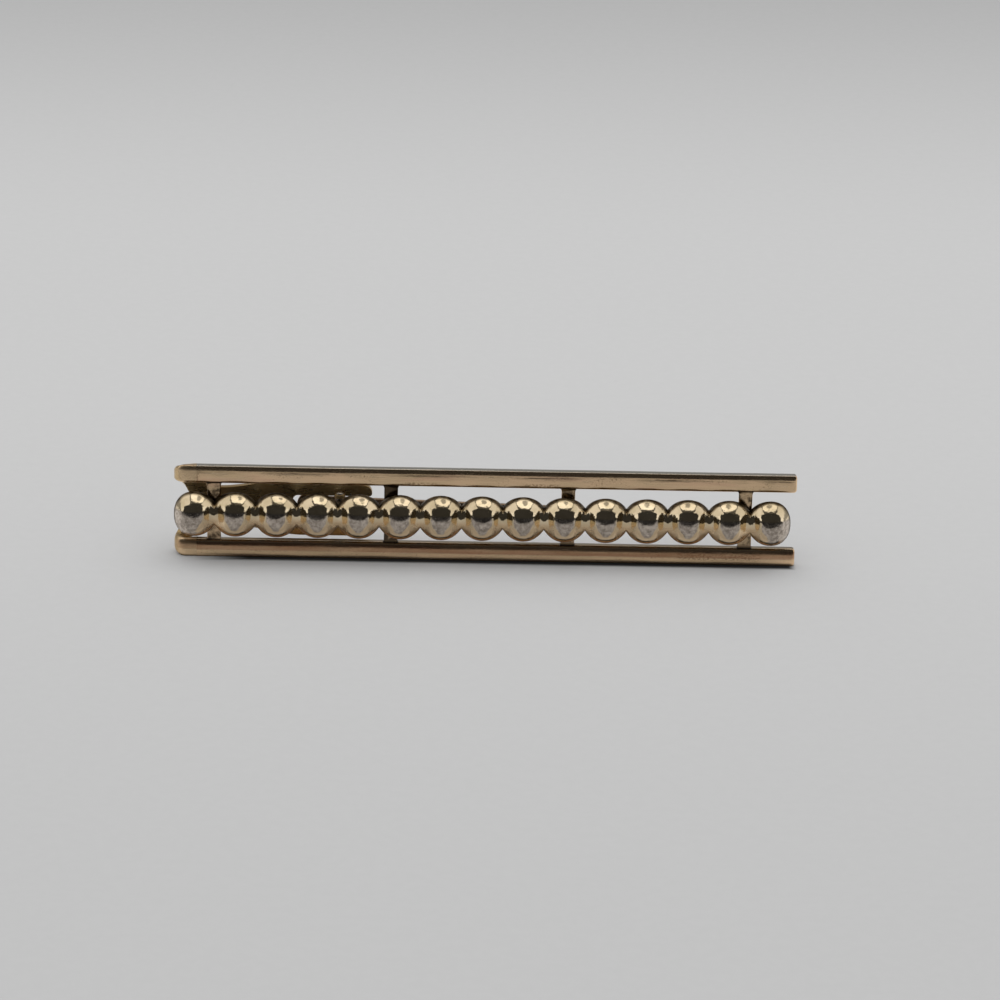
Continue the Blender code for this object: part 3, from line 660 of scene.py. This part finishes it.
def make_cross_bar(number, middle, materials):
    """A flat bar with its ends run into the rails by a little solder."""
    low, high = RAIL_WIDTH - SOLDER_SINK, HEIGHT - RAIL_WIDTH + SOLDER_SINK
    rng = random.Random(40 + number)
    rings = []
    stations = 44
    for step in range(stations + 1):
        share = step / stations
        z = low + (high - low) * (0.5 - 0.5 * math.cos(math.pi * share))
        near = min(z - low, high - z)
        flare = SOLDER_FLARE * max(0.0, 1 - near / SOLDER_REACH) ** 2.2
        half = CROSS_BAR_WIDTH / 2 + flare
        front = CROSS_BAR_RECESS - 0.35 * flare
        back = CROSS_BAR_RECESS + CROSS_BAR_THICKNESS + 0.6 * flare
        r = CROSS_BAR_ROUND
        x = middle + CROSS_BAR_SWAY * math.sin(z * 1.3 + number)
        ring = arc((x - half + r, front + r), r, 180, 270, 5)
        ring += arc((x + half - r, front + r), r, 270, 360, 5)
        ring += arc((x + half - r * 0.6, back - r * 0.6), r * 0.6, 0, 90, 3)
        ring += arc((x - half + r * 0.6, back - r * 0.6), r * 0.6, 90, 180, 3)
        jitter = rng.uniform(-0.003, 0.003)
        rings.append([(u + jitter, d, z) for u, d in ring])
    bar = new_object(f"cross_bar_dressed_{number}", *loft(rings), materials, 50)
    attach(bar, "frame")
    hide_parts(f"cross_bar_{number}")


# Domes


def dome_height(reach):
    """A dome's height above its base, across the strip: a round crown, then a steep flank."""
    if reach <= CROWN_EDGE:
        drop = CROWN_RADIUS - math.sqrt(CROWN_RADIUS ** 2 - reach ** 2)
    else:
        sine = CROWN_SINE + (reach - CROWN_EDGE) / FLANK_RADIUS
        fall = FLANK_RADIUS * (CROWN_COSINE - math.sqrt(max(1 - sine * sine, 0)))
        drop = CROWN_RADIUS * (1 - CROWN_COSINE) + fall
    return max(DOME_RISE - drop, 0.0)


def ridge_height(away):
    """The strip's middle line above the base: round crown, straight flank, round saddle in the dip."""
    slope = RIDGE_SLOPE
    crown = RIDGE_CROWN_RADIUS * math.sin(slope)
    saddle = DOME_PITCH / 2 - SADDLE_RADIUS * math.sin(slope)
    if away <= crown:
        return DOME_RISE - RIDGE_CROWN_RADIUS + math.sqrt(RIDGE_CROWN_RADIUS ** 2 - away ** 2)
    height = DOME_RISE - RIDGE_CROWN_RADIUS * (1 - math.cos(slope))
    if away <= saddle:
        return height - (away - crown) * math.tan(slope)
    height -= (saddle - crown) * math.tan(slope) + SADDLE_RADIUS * (1 - math.cos(slope))
    past = DOME_PITCH / 2 - away
    return height + SADDLE_RADIUS - math.sqrt(SADDLE_RADIUS ** 2 - past ** 2)


def soft_max(a, b, softness):
    return max(a, b) + max(softness - abs(a - b), 0) ** 2 / (4 * softness)


def half_section(away, other):
    """From the ridge to the foot at a distance from the nearest dome's middle and from the next one's."""
    near = math.sqrt(max(DOME_RADIUS ** 2 - away ** 2, 0.0001))
    far = math.sqrt(max(DOME_RADIUS ** 2 - other ** 2, 0))
    half = soft_max(near, far, WAIST_SOFTNESS)
    ridge = ridge_height(min(away, DOME_PITCH / 2))
    dip = (away / (DOME_PITCH / 2)) ** 2
    sink = DIP_BASE_DROP * dip

    def depth(up):
        dome = dome_height(DOME_RADIUS * up / half) / DOME_RISE
        oval = math.sqrt(max(1 - (up / half) ** 2, 0))
        return DOME_BASE + sink - (ridge + sink) * (dome + (oval - dome) * dip)

    rounding = min(RIM_ROUND, 0.3 * half)
    points = []
    for step in range(DOME_ROWS + 1):
        up = (half - rounding) * math.sin(math.pi / 2 * step / DOME_ROWS)
        points.append((up, depth(up)))
    start = points[-1]
    corner = (half + RIM_SWELL, depth(half))
    foot = (half * (1 - SKIRT_DRAFT / DOME_RADIUS), STRIP_BACK)
    length = math.hypot(foot[0] - corner[0], foot[1] - corner[1])
    share = rounding / length
    end = tuple(c + (f - c) * share for c, f in zip(corner, foot))
    for step in range(1, 9):
        t = step / 8
        curve = zip(start, corner, end)
        points.append(tuple(a * (1 - t) ** 2 + 2 * b * t * (1 - t) + c * t * t for a, b, c in curve))
    for step in range(1, 4):
        t = step / 3
        points.append(tuple(a + (b - a) * t for a, b in zip(end, foot)))
    return points


def make_domes(materials):
    """The strip of domes: straight rows across it, and a half turn round the middle of each end dome."""
    body = bmesh.new()
    rows = []

    def add_row(points):
        rows.append([body.verts.new(place(*p)) for p in points])

    def meridian(middle, outward, angle):
        cosine, sine = math.cos(angle), math.sin(angle)
        squash = END_DOME_REACH / DOME_RADIUS
        stretch = (cosine ** END_SQUARENESS + abs(sine) ** END_SQUARENESS) ** (-1 / END_SQUARENESS)
        return [
            (middle + outward * r * cosine * stretch * squash, d, MIDDLE + r * sine * stretch)
            for r, d in half_section(0.0, DOME_PITCH)
        ]

    def skin(first, last):
        for row, following in zip(rows[first:last], rows[first + 1:last + 1]):
            for k in range(len(row) - 1):
                body.faces.new((row[k], row[k + 1], following[k + 1], following[k]))

    half_pitch = DOME_PITCH / 2
    shares = [math.sin(math.pi / 2 * step / 22) for step in range(-22, 23)]
    first_middle = STRIP_START + half_pitch
    last_middle = STRIP_START + DOME_PITCH * (DOME_COUNT - 0.5)
    stations = []
    for number in range(DOME_COUNT):
        middle = STRIP_START + DOME_PITCH * (number + 0.5)
        for share in shares[1:] if number else shares:
            x = middle + half_pitch * share
            if first_middle - 1e-6 <= x <= last_middle + 1e-6:
                stations.append((x, half_pitch * abs(share)))
    for side in (1, -1):
        begin = len(rows)
        for x, away in stations:
            section = half_section(away, DOME_PITCH - away)
            add_row([(x, d, MIDDLE + side * up) for up, d in section])
        skin(begin, len(rows) - 1)
    for middle, outward in ((first_middle, -1), (last_middle, 1)):
        begin = len(rows)
        for step in range(49):
            add_row(meridian(middle, outward, math.radians(90 - 180 * step / 48)))
        skin(begin, len(rows) - 1)
    bmesh.ops.remove_doubles(body, verts=body.verts, dist=2e-7)
    bmesh.ops.dissolve_degenerate(body, edges=body.edges, dist=1e-7)
    domes = joined("domes", [body], materials, 75)
    sheet = domes.modifiers.new("sheet", "SOLIDIFY")
    sheet.thickness = DOME_SHEET * MM
    sheet.offset = -1
    sheet.use_even_offset = True
    sheet.material_offset = 1
    sheet.material_offset_rim = 1
    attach(domes, "frame")
    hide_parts("bead_strip")


# Back leaf


def eased(start, end, share):
    return start + (end - start) * share * share * (3 - 2 * share)


def leaf_half_width(x):
    """Half the leaf's width on its back leg at a distance from the left end."""
    shoulder = HEIGHT / 2 - SHOULDER_DROP
    if x < NECK[0]:
        return eased(shoulder, NECK[1], max(x, 0) / NECK[0])
    if x < PADDLE[0]:
        return eased(NECK[1], PADDLE[1], (x - NECK[0]) / (PADDLE[0] - NECK[0]))
    run = max(x - TINE_TAPER[0], 0) / (PADDLE_TIP - PADDLE_CORNER - TINE_TAPER[0])
    return PADDLE[1] + (TINE_TAPER[1] - PADDLE[1]) * run ** 2


def along_sheet(x):
    """Distance along the unrolled sheet of a place on its back leg."""
    return math.pi * FOLD_MIDDLE + x - FOLD_OUTER


def leaf_outline():
    """The unrolled paddle behind the notch: distance along the sheet and height."""
    begin = NOTCH_DEPTH - ARM_LAP
    outer = []
    for step in range(61):
        x = begin + (PADDLE_TIP - PADDLE_CORNER - begin) * step / 60
        outer.append((along_sheet(x), leaf_half_width(x)))
    tip = along_sheet(PADDLE_TIP)
    corner = (tip - PADDLE_CORNER, TINE_TAPER[1] - PADDLE_CORNER)
    outer += arc(corner, PADDLE_CORNER, 90, 0, 12)[1:]
    mouth = (tip - SLOT_MOUTH_ROUND, SLOT_HALF + SLOT_MOUTH_ROUND)
    outer += arc(mouth, SLOT_MOUTH_ROUND, 0, -90, 6)
    deep = (along_sheet(SLOT_START) + SLOT_DEEP_ROUND, SLOT_HALF - SLOT_DEEP_ROUND)
    outer += arc(deep, SLOT_DEEP_ROUND, 90, 180, 8)
    lower = [(s, -z) for s, z in reversed(outer)]
    return [(s, z + MIDDLE) for s, z in outer + lower]


def arm_edges(s):
    """Heights above the middle of a folded arm's inner and outer edge at a place along the sheet."""
    turn = s / FOLD_MIDDLE
    if turn <= 0:
        return RAIL_GAP / 2, MIDDLE
    back_leg = FOLD_OUTER + s - math.pi * FOLD_MIDDLE
    x = FOLD_OUTER * (1 - math.sin(turn)) if turn < math.pi else back_leg
    if turn <= math.pi / 2:
        run = max(SHOULDER_RUN - x, 0.0) / SHOULDER_RUN
        return RAIL_GAP / 2, MIDDLE - SHOULDER_DROP + SHOULDER_DROP * math.sqrt(1 - run * run)
    share = min(x / NOTCH_DEPTH, 1.0)
    return RAIL_GAP / 2 * (1 - share) ** NOTCH_FULLNESS, leaf_half_width(x)


def folded_arm(side):
    """One arm of the leaf, from the rail round the fold to the notch's root, and in front like the rail."""
    begin, end = FOLD_OUTER - SEAM + SEAM_GAP, along_sheet(NOTCH_DEPTH)
    lap_start = along_sheet(NOTCH_DEPTH - ARM_LAP) + 0.1
    rings = []
    count = 110
    for step in range(count + 1):
        s = begin + (end - begin) * step / count
        inner, outer = arm_edges(s)
        low, high = sorted((MIDDLE + side * inner, MIDDLE + side * outer))
        as_rail = eased(1.0, 0.0, min(max(s / (math.pi * FOLD_MIDDLE), 0.0), 1.0))
        extra = (RAIL_THICKNESS - SHEET) * eased(1.0, 0.0, min((s - begin) / ARM_THINS_OVER, 1.0))
        room = (high - low) * 0.45
        upper, lower = (
            [EDGE_ROUND + (size - EDGE_ROUND) * as_rail for size in sizes] for sizes in front_rounds(low)
        )
        upper[1], lower[1] = min(upper[1], room), min(lower[1], room)
        edge = EDGE_ROUND + (RAIL_EDGE_ROUND - EDGE_ROUND) * as_rail
        lapped = ARM_LAP_SINK if s > lap_start else 0.0
        outline = wire_section(low, high, SHEET + extra - 2 * lapped, upper, lower, edge, 0.0)
        rings.append([fold_point(s, z, SHEET / 2 - lapped - d) for d, z in outline])
    return loose_body(*loft(rings))


def fold_point(s, z, w):
    """A point of the unrolled sheet, w outwards from its middle, as x, depth and height."""
    if s <= 0:
        return FOLD_OUTER - s, SHEET / 2 - w, z
    turn = s / FOLD_MIDDLE
    if turn >= math.pi:
        return FOLD_OUTER + s - math.pi * FOLD_MIDDLE, FOLD_OUTER + FOLD_MIDDLE + w, z
    radius = FOLD_MIDDLE + w
    return FOLD_OUTER - radius * math.sin(turn), FOLD_OUTER - radius * math.cos(turn), z


def eyed_plates(centre, reach, side, thickness, off_middle, placed):
    """A pair of small plates with the pin's hole, round above it and broader towards the foot."""
    profile = [(centre[0] + reach + more, depth) for more, depth in side]
    profile += arc(centre, reach, 0, -180, 20)
    profile += [(centre[0] - reach - more, depth) for more, depth in reversed(side)]
    hole = arc(centre, HOLE_RADIUS, 0, 345, 23)
    plates = []
    for middle in (MIDDLE + off_middle, MIDDLE - off_middle):
        plate = flat_plate(profile, [hole], thickness, PLATE_EDGE)
        for vert in plate.verts:
            vert.co = placed(vert.co.x, vert.co.y, middle + vert.co.z)
        plates.append(plate)
    return plates


def make_leaf(materials):
    """The folded leaf with its two arms and the two lugs that carry the pin."""
    blank = flat_plate(leaf_outline(), [], SHEET, EDGE_ROUND)
    for vert in blank.verts:
        vert.co = place(*fold_point(*vert.co))
    pin_centre, off_middle = (PIVOT_X, PIN_DEPTH), SLOT_HALF + LUG_THICKNESS / 2
    lugs = eyed_plates(pin_centre, LUG_REACH, LUG_SIDE, LUG_THICKNESS, off_middle, place)
    bodies = [blank, folded_arm(1), folded_arm(-1)] + lugs
    leaf = joined("leaf", bodies, materials, 42)
    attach(leaf, "frame")
    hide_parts("back_leaf")


# Hinge pin, grip arm and spring


def make_pin(materials):
    outer = SLOT_HALF + LUG_THICKNESS + 0.03
    head = PIN_HEAD_THICKNESS
    profile = [(0.0, MIDDLE - outer - head)]
    for angle in quarter(8)[1:]:
        profile.append((PIN_HEAD * math.sin(angle), MIDDLE - outer - head * math.cos(angle)))
    profile.append((PIN_RADIUS, MIDDLE - outer))
    profile += [(r, 2 * MIDDLE - z) for r, z in reversed(profile)]
    rings = []
    for r, z in profile:
        circle = [2 * math.pi * side / PIN_SIDES for side in range(PIN_SIDES)]
        rings.append([(PIVOT_X + r * math.cos(a), PIN_DEPTH + r * math.sin(a), z) for a in circle])
    pin = new_object("pin", *loft(rings, closed_ends=False), materials, 45)
    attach(pin, "frame")
    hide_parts("hinge_pin")


def arm_point(along, through, z):
    """A point of the arm: distance from the pin along it, distance behind the pin, and height."""
    c, s = math.cos(ARM_SLOPE), math.sin(ARM_SLOPE)
    return PIVOT_X + along * c + through * s, PIN_DEPTH - along * s + through * c, z


def place_on_arm(along, through, z):
    return place(*arm_point(along, through, z))


def arm_ring(along):
    """The arm's section at a distance from the pin, with the thumb's ribs and jaw's teeth."""
    half = ARM_WIDTH / 2
    from_tail, from_tip = along + ARM_TAIL, ARM_REACH - along
    from_end = min(from_tail, from_tip)
    width = half
    if from_end < half:
        width = math.sqrt(max(half * half - (half - from_end) ** 2, 0.0004))
    past_thumb = min(max((from_tail - THUMB_LENGTH) / THUMB_NECK, 0.0), 1.0)
    width *= 1 + THUMB_FLARE * eased(1.0, 0.0, past_thumb)
    edge = min(ARM_EDGE, width * 0.6)
    lip = max(1 - from_end / ARM_EDGE, 0.0)
    inset = ARM_EDGE * (1 - math.sqrt(1 - lip * lip))
    front, back = ARM_FRONT + inset, ARM_FRONT + ARM_THICKNESS - inset
    if JAW_TEETH[0] < from_tip < JAW_TEETH[1]:
        phase = (from_tip - JAW_TEETH[0]) / RIB_PITCH % 1.0
        front += TOOTH_DEPTH * (1 - abs(2 * phase - 1))
    if THUMB_RIBS[0] < from_tail < THUMB_RIBS[1]:
        phase = (from_tail - THUMB_RIBS[0]) / RIB_PITCH % 1.0
        back -= RIB_DEPTH * (0.5 - 0.5 * math.cos(2 * math.pi * phase))
    crown = ARM_CROWN * min(from_end / half, 1.0)
    ring = arc((back - edge, width - edge), edge, 0, 90, 3)
    ring += arc((front + edge, width - edge), edge, 90, 180, 3)
    ring += [(front, width * 0.4), (front, 0.0), (front, -width * 0.4)]
    ring += arc((front + edge, -width + edge), edge, 180, 270, 3)
    ring += arc((back - edge, -width + edge), edge, 270, 360, 3)
    ring += [(back + crown * 0.6, -width * 0.4), (back + crown, 0.0), (back + crown * 0.6, width * 0.4)]
    return [arm_point(along, t, MIDDLE + v) for t, v in ring]


def make_arm(materials):
    """The grip arm's long strip with round ends, and the two cheeks that turn on the pin."""
    half = ARM_WIDTH / 2
    begin, end = -ARM_TAIL + half, ARM_REACH - half
    count = 260
    stations = [-ARM_TAIL + half * (1 - math.cos(angle)) for angle in quarter(14)]
    stations += [begin + (end - begin) * step / count for step in range(1, count)]
    stations += [end + half * math.sin(angle) for angle in quarter(14)]
    strip = loose_body(*loft([arm_ring(along) for along in stations]))
    off_middle = half - CHEEK_FROM_EDGE - CHEEK_THICKNESS / 2
    cheeks = eyed_plates((0, 0), CHEEK_REACH, CHEEK_SIDE, CHEEK_THICKNESS, off_middle, place_on_arm)
    arm = joined("arm_dressed", [strip] + cheeks, materials, 38)
    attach(arm, "arm")
    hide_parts("grip_arm")


def tube(path, radius, sides):
    """Rings of points round a path, for a wire."""
    rings = []
    up = Vector((0, 0, 1))
    count = len(path)
    for i, point in enumerate(path):
        ahead = (Vector(path[min(i + 1, count - 1)]) - Vector(path[max(i - 1, 0)])).normalized()
        side = ahead.cross(up)
        if side.length < 1e-4:
            side = ahead.cross(Vector((1, 0, 0)))
        side.normalize()
        up = side.cross(ahead).normalized()
        size = radius * (0.75 if i in (0, count - 1) else 1.0)
        ring = []
        for j in range(sides):
            angle = 2 * math.pi * j / sides
            offset = side * math.cos(angle) * size + up * math.sin(angle) * size
            ring.append(tuple(Vector(point) + offset))
        rings.append(ring)
    return rings


def make_spring(materials):
    """Four turns of wire round the pin, one leg under the arm's tail and a foot on the leaf."""
    wire = SPRING_WIRE
    coil = HOLE_RADIUS + wire + 0.01
    length = ARM_WIDTH - 2 * (CHEEK_THICKNESS + CHEEK_FROM_EDGE + 0.06) - 2 * wire
    low, high = MIDDLE - length / 2, MIDDLE + length / 2
    under_tail = (wire + SPRING_CLEARANCE) / math.cos(ARM_SLOPE)
    tail_depth = ARM_PIVOT_DEPTH + SPRING_LEG * math.tan(ARM_SLOPE) - under_tail
    path = []
    for step in range(13):
        share = step / 12
        depth = tail_depth + (PIN_DEPTH + coil - tail_depth) * share
        path.append((PIVOT_X - SPRING_LEG * (1 - share), depth, low))
    coiled = SPRING_TURNS * TURN_STEPS
    for step in range(1, coiled + 15):
        angle = math.radians(90) - 2 * math.pi * step / TURN_STEPS
        height = low + (high - low) * min(step / coiled, 1.0)
        path.append((PIVOT_X + coil * math.cos(angle), PIN_DEPTH + coil * math.sin(angle), height))
    foot_depth = LEAF_FRONT - wire - SPRING_CLEARANCE
    foot_end = MIDDLE + SLOT_HALF + 0.35
    coil_end = Vector(path[-1])
    bend = Vector((SPRING_FOOT_X, foot_depth, high))
    path += [tuple(coil_end.lerp(bend, step / 9)) for step in range(1, 9)]
    radius = SPRING_BEND
    for step, angle in enumerate(quarter(6)):
        x = SPRING_FOOT_X - radius + radius * math.sin(angle)
        path.append((x, foot_depth - 0.02 * (1 - step / 6), high + radius * (1 - math.cos(angle))))
    for step in range(1, 7):
        path.append((SPRING_FOOT_X, foot_depth, high + radius + (foot_end - high - radius) * step / 6))
    spring = new_object("spring", *loft(tube(path, wire, 12)), materials, 60)
    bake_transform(spring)
    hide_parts("torsion_spring")


# Table, light and camera


def stage_plane(name, corners, material):
    """A four-sided face of the stage, from its corners in millimetres."""
    mesh = bpy.data.meshes.new(name)
    mesh.from_pydata([Vector(corner) * MM for corner in corners], [], [(0, 1, 2, 3)])
    mesh.materials.append(material)
    plane = bpy.data.objects.new(name, mesh)
    bpy.context.scene.collection.objects.link(plane)
    return plane


def make_table():
    """A wide sheet of pale paper with painted shade: less bright far behind and in front, and a painted
    contact shadow under the bar.
    """
    t = Surface("table_paper")
    away, along = t.axis("Y"), t.axis("X")
    # Painted falloff of the light: the paper darker far behind and a little darker in front
    tone = t.span(away, 110.0, 330.0, PAPER_TONE, 0.35)
    tone = t.maths("MINIMUM", tone, t.span(away, -110.0, 70.0, 0.475, PAPER_TONE))
    fibre = t.noise(0.8, 4.0, 0.6)
    tone = t.times(tone, t.span(fibre, 0.3, 0.7, 0.992, 1.008))
    # A painted contact shadow in a strip along the bar's foot, fading out beside its ends
    beside = t.larger(t.span(along, 31.0, 32.0), t.span(along, -30.5, -23.0, 1.0, 0.0))
    contact = t.larger(t.span(away, -1.45, -0.65, 1.0, 0.06), beside)
    shaded = t.times(tone, t.larger(contact, t.span(away, 0.8, 1.4)))
    # What the metal sees of it, a painted reflection: dark right under the bar, brighter close in front, dark
    # far in front
    under = t.larger(t.span(away, -1.05, -0.65, 1.0, 0.16), t.span(away, 1.0, 4.0, 0.16, 1.0))
    mirrored = t.times(t.span(away, -12.0, 12.0, 0.78, 0.85), t.larger(under, beside))
    mirrored = t.times(mirrored, t.span(away, -50.0, -46.0, 0.07, 1.0))
    mirrored = t.times(mirrored, t.span(away, -3.5, -1.7, 1.0, 1.45))
    glossy = t.node("ShaderNodeLightPath").outputs["Is Glossy Ray"]
    level = t.mix(glossy, shaded, t.times(tone, mirrored), "FLOAT")
    colour = t.node("ShaderNodeCombineColor", {"Red": level, "Green": level, "Blue": level})
    t.set("Base Color", colour.outputs["Color"])
    t.set("Roughness", 0.9)
    t.set("Specular IOR Level", 0.0)
    far = 3000.0
    corners = ((-far, -far, 0), (far, -far, 0), (far, far, 0), (-far, far, 0))
    table = stage_plane("table", corners, t.material)


def make_lamp():
    """A panel over the bar, seen only in the metal: an oval lamp with a dim middle between pale walls."""
    distance, off_centre = 130.0, 16.0
    half_long, half_short = 80.0, 40.0
    reach_aside, reach_front, reach_back = 500.0, 61.0, 118.0
    squareness = 2.3
    tilt = math.radians(96)
    facing = Vector((0, -math.cos(tilt), math.sin(tilt)))
    up = Vector((0, math.sin(tilt), math.cos(tilt)))
    centre = Vector((off_centre, 0, MIDDLE)) + facing * distance
    corners = []
    for side, back in ((-1, -reach_front), (1, -reach_front), (1, reach_back), (-1, reach_back)):
        corners.append(centre + Vector((side * reach_aside, 0, 0)) + up * back)
    t = Surface("lamp_glow")
    t.nodes.remove(t.shader)
    from_centre = t.node("ShaderNodeVectorMath", {0: t.coords(), 1: centre}, operation="SUBTRACT")
    aside = t.split(from_centre.outputs["Vector"])["X"]
    measured = {0: from_centre.outputs["Vector"], 1: up}
    back = t.node("ShaderNodeVectorMath", measured, operation="DOT_PRODUCT").outputs["Value"]
    u = t.maths("DIVIDE", aside, half_long)
    v = t.maths("DIVIDE", back, half_short)
    oval = t.plus(
        t.maths("POWER", t.size_of(u), squareness),
        t.maths("POWER", t.size_of(v), squareness),
    )
    inside = t.span(oval, 0.82, 1.12, 1.0, 0.0)
    spot = t.plus(t.maths("POWER", t.times(u, 1.75), 2.0), t.maths("POWER", v, 2.0))
    lamp_level = t.span(t.maths("SQRT", spot), 0.34, 0.6, 0.42, 1.25)
    wall = t.span(t.size_of(aside), 83.0, 94.0, 0.1, 0.8)
    wall = t.plus(wall, t.times(t.span(back, 44.0, reach_back), t.minus(0.3, wall)))
    strength = t.plus(wall, t.times(inside, t.minus(lamp_level, wall)))
    glow = t.node("ShaderNodeEmission", {"Strength": strength, "Color": (1.0, 0.98, 0.95, 1.0)})
    t.put(glow.outputs["Emission"], t.nodes["Material Output"].inputs["Surface"])
    t.material.cycles.emission_sampling = "NONE"
    lamp = stage_plane("lamp", corners, t.material)
    lamp.visible_camera = False
    lamp.visible_diffuse = False
    lamp.visible_shadow = False


def light_world():
    """Soft light from the whole sky for the table; for the metal, pale walls and a dark room in front."""
    world = bpy.data.worlds.new("studio")
    bpy.context.scene.world = world
    world.use_nodes = True
    w = Nodes(world.node_tree)
    w.nodes.clear()
    towards = w.split(w.node("ShaderNodeTexCoord").outputs["Generated"])
    path = w.node("ShaderNodeLightPath").outputs
    sky = w.span(towards["Z"], 0.0, 1.0, 0.3, 1.5)
    # A direction's angle round the bar, from the front over the top, and how far it leans aside
    turn = w.maths("ARCTAN2", towards["Z"], w.times(towards["Y"], -1.0))
    upright = w.maths("SQRT", w.minus(1.0, w.maths("POWER", towards["X"], 2.0)))
    aside = w.maths("DIVIDE", w.size_of(towards["X"]), w.larger(upright, 0.001))
    above = w.span(aside, 0.64, 0.72, 0.1, 0.95)
    behind = w.span(turn, math.radians(112), math.radians(140))
    walls = w.mix(behind, above, 0.3, "FLOAT")
    edge = w.span(aside, 1.6, 3.2, math.radians(71), math.radians(28))
    in_front = w.span(w.minus(turn, edge), 0.0, math.radians(6), 1.0, 0.0)
    walls = w.mix(in_front, walls, 0.035, "FLOAT")
    level = w.mix(path["Is Glossy Ray"], sky, walls, "FLOAT")
    level = w.mix(path["Is Camera Ray"], level, 0.5, "FLOAT")
    background = w.node("ShaderNodeBackground", {"Strength": level, "Color": (1.0, 1.0, 1.0, 1.0)})
    w.node("ShaderNodeOutputWorld", {"Surface": background.outputs["Background"]})
    world.cycles.sampling_method = "NONE"


def make_camera():
    """At the photograph's angle: 19 degrees above the bar and turned one degree."""
    elevation, roll = math.radians(19.0), math.radians(1.0)
    pixels_per_mm, image = 9.8, 1000.0
    lens, sensor = 180.0, 36.0
    distance = lens / sensor * image / pixels_per_mm
    centre_pixel = (484.7, 515.5)
    looking = Vector((0, math.cos(elevation), -math.sin(elevation)))
    level_up = Vector((0, math.sin(elevation), math.cos(elevation)))
    right = Vector((1, 0, 0)) * math.cos(roll) + level_up * math.sin(roll)
    up = level_up * math.cos(roll) - Vector((1, 0, 0)) * math.sin(roll)
    shift_right = (image / 2 - centre_pixel[0]) / pixels_per_mm
    shift_up = (centre_pixel[1] - image / 2) / pixels_per_mm
    middle = Vector((0, 0, MIDDLE))
    eye = middle + right * shift_right + up * shift_up - looking * distance
    data = bpy.data.cameras.new("camera")
    data.lens = lens
    data.sensor_width = sensor
    data.clip_start = 0.01
    data.clip_end = 20
    camera = bpy.data.objects.new("camera", data)
    basis = Matrix((right, up, -looking)).transposed().to_4x4()
    camera.matrix_world = Matrix.Translation(eye * MM) @ basis
    bpy.context.scene.collection.objects.link(camera)
    bpy.context.scene.camera = camera


def main():
    gold = rail_metal()
    browned_and_shaded = rail_metal("cross_bar_gold", rgb(0.045, 0.03, 0.018))
    leaf_brass = sheet_metal(
        "leaf_brass", rgb(0.56, 0.4, 0.2), rgb(0.42, 0.28, 0.12), 0.28, 2.0, rgb(0.83, 0.61, 0.38)
    )
    arm_brass = sheet_metal("arm_brass", rgb(0.55, 0.39, 0.26), rgb(0.4, 0.26, 0.16), 0.28, 6.0)
    make_camera()
    make_rail("rail_top", RAIL_WIDTH + RAIL_GAP, "upper_rail", 1.3, [gold])
    make_rail("rail_bottom", 0.0, "lower_rail", 4.1, [gold])
    for number, middle in enumerate(CROSS_BAR_X, 1):
        make_cross_bar(number, middle, [browned_and_shaded])
    make_domes([dome_metal(), rim_metal()])
    make_leaf([leaf_brass])
    make_pin([steel("pin_steel", 0.22, 1.0)])
    make_arm([arm_brass])
    make_spring([steel("spring_steel", 0.28, 5.0)])
    make_table()
    make_lamp()
    light_world()
    bpy.context.scene.view_settings.view_transform = "Standard"


main()
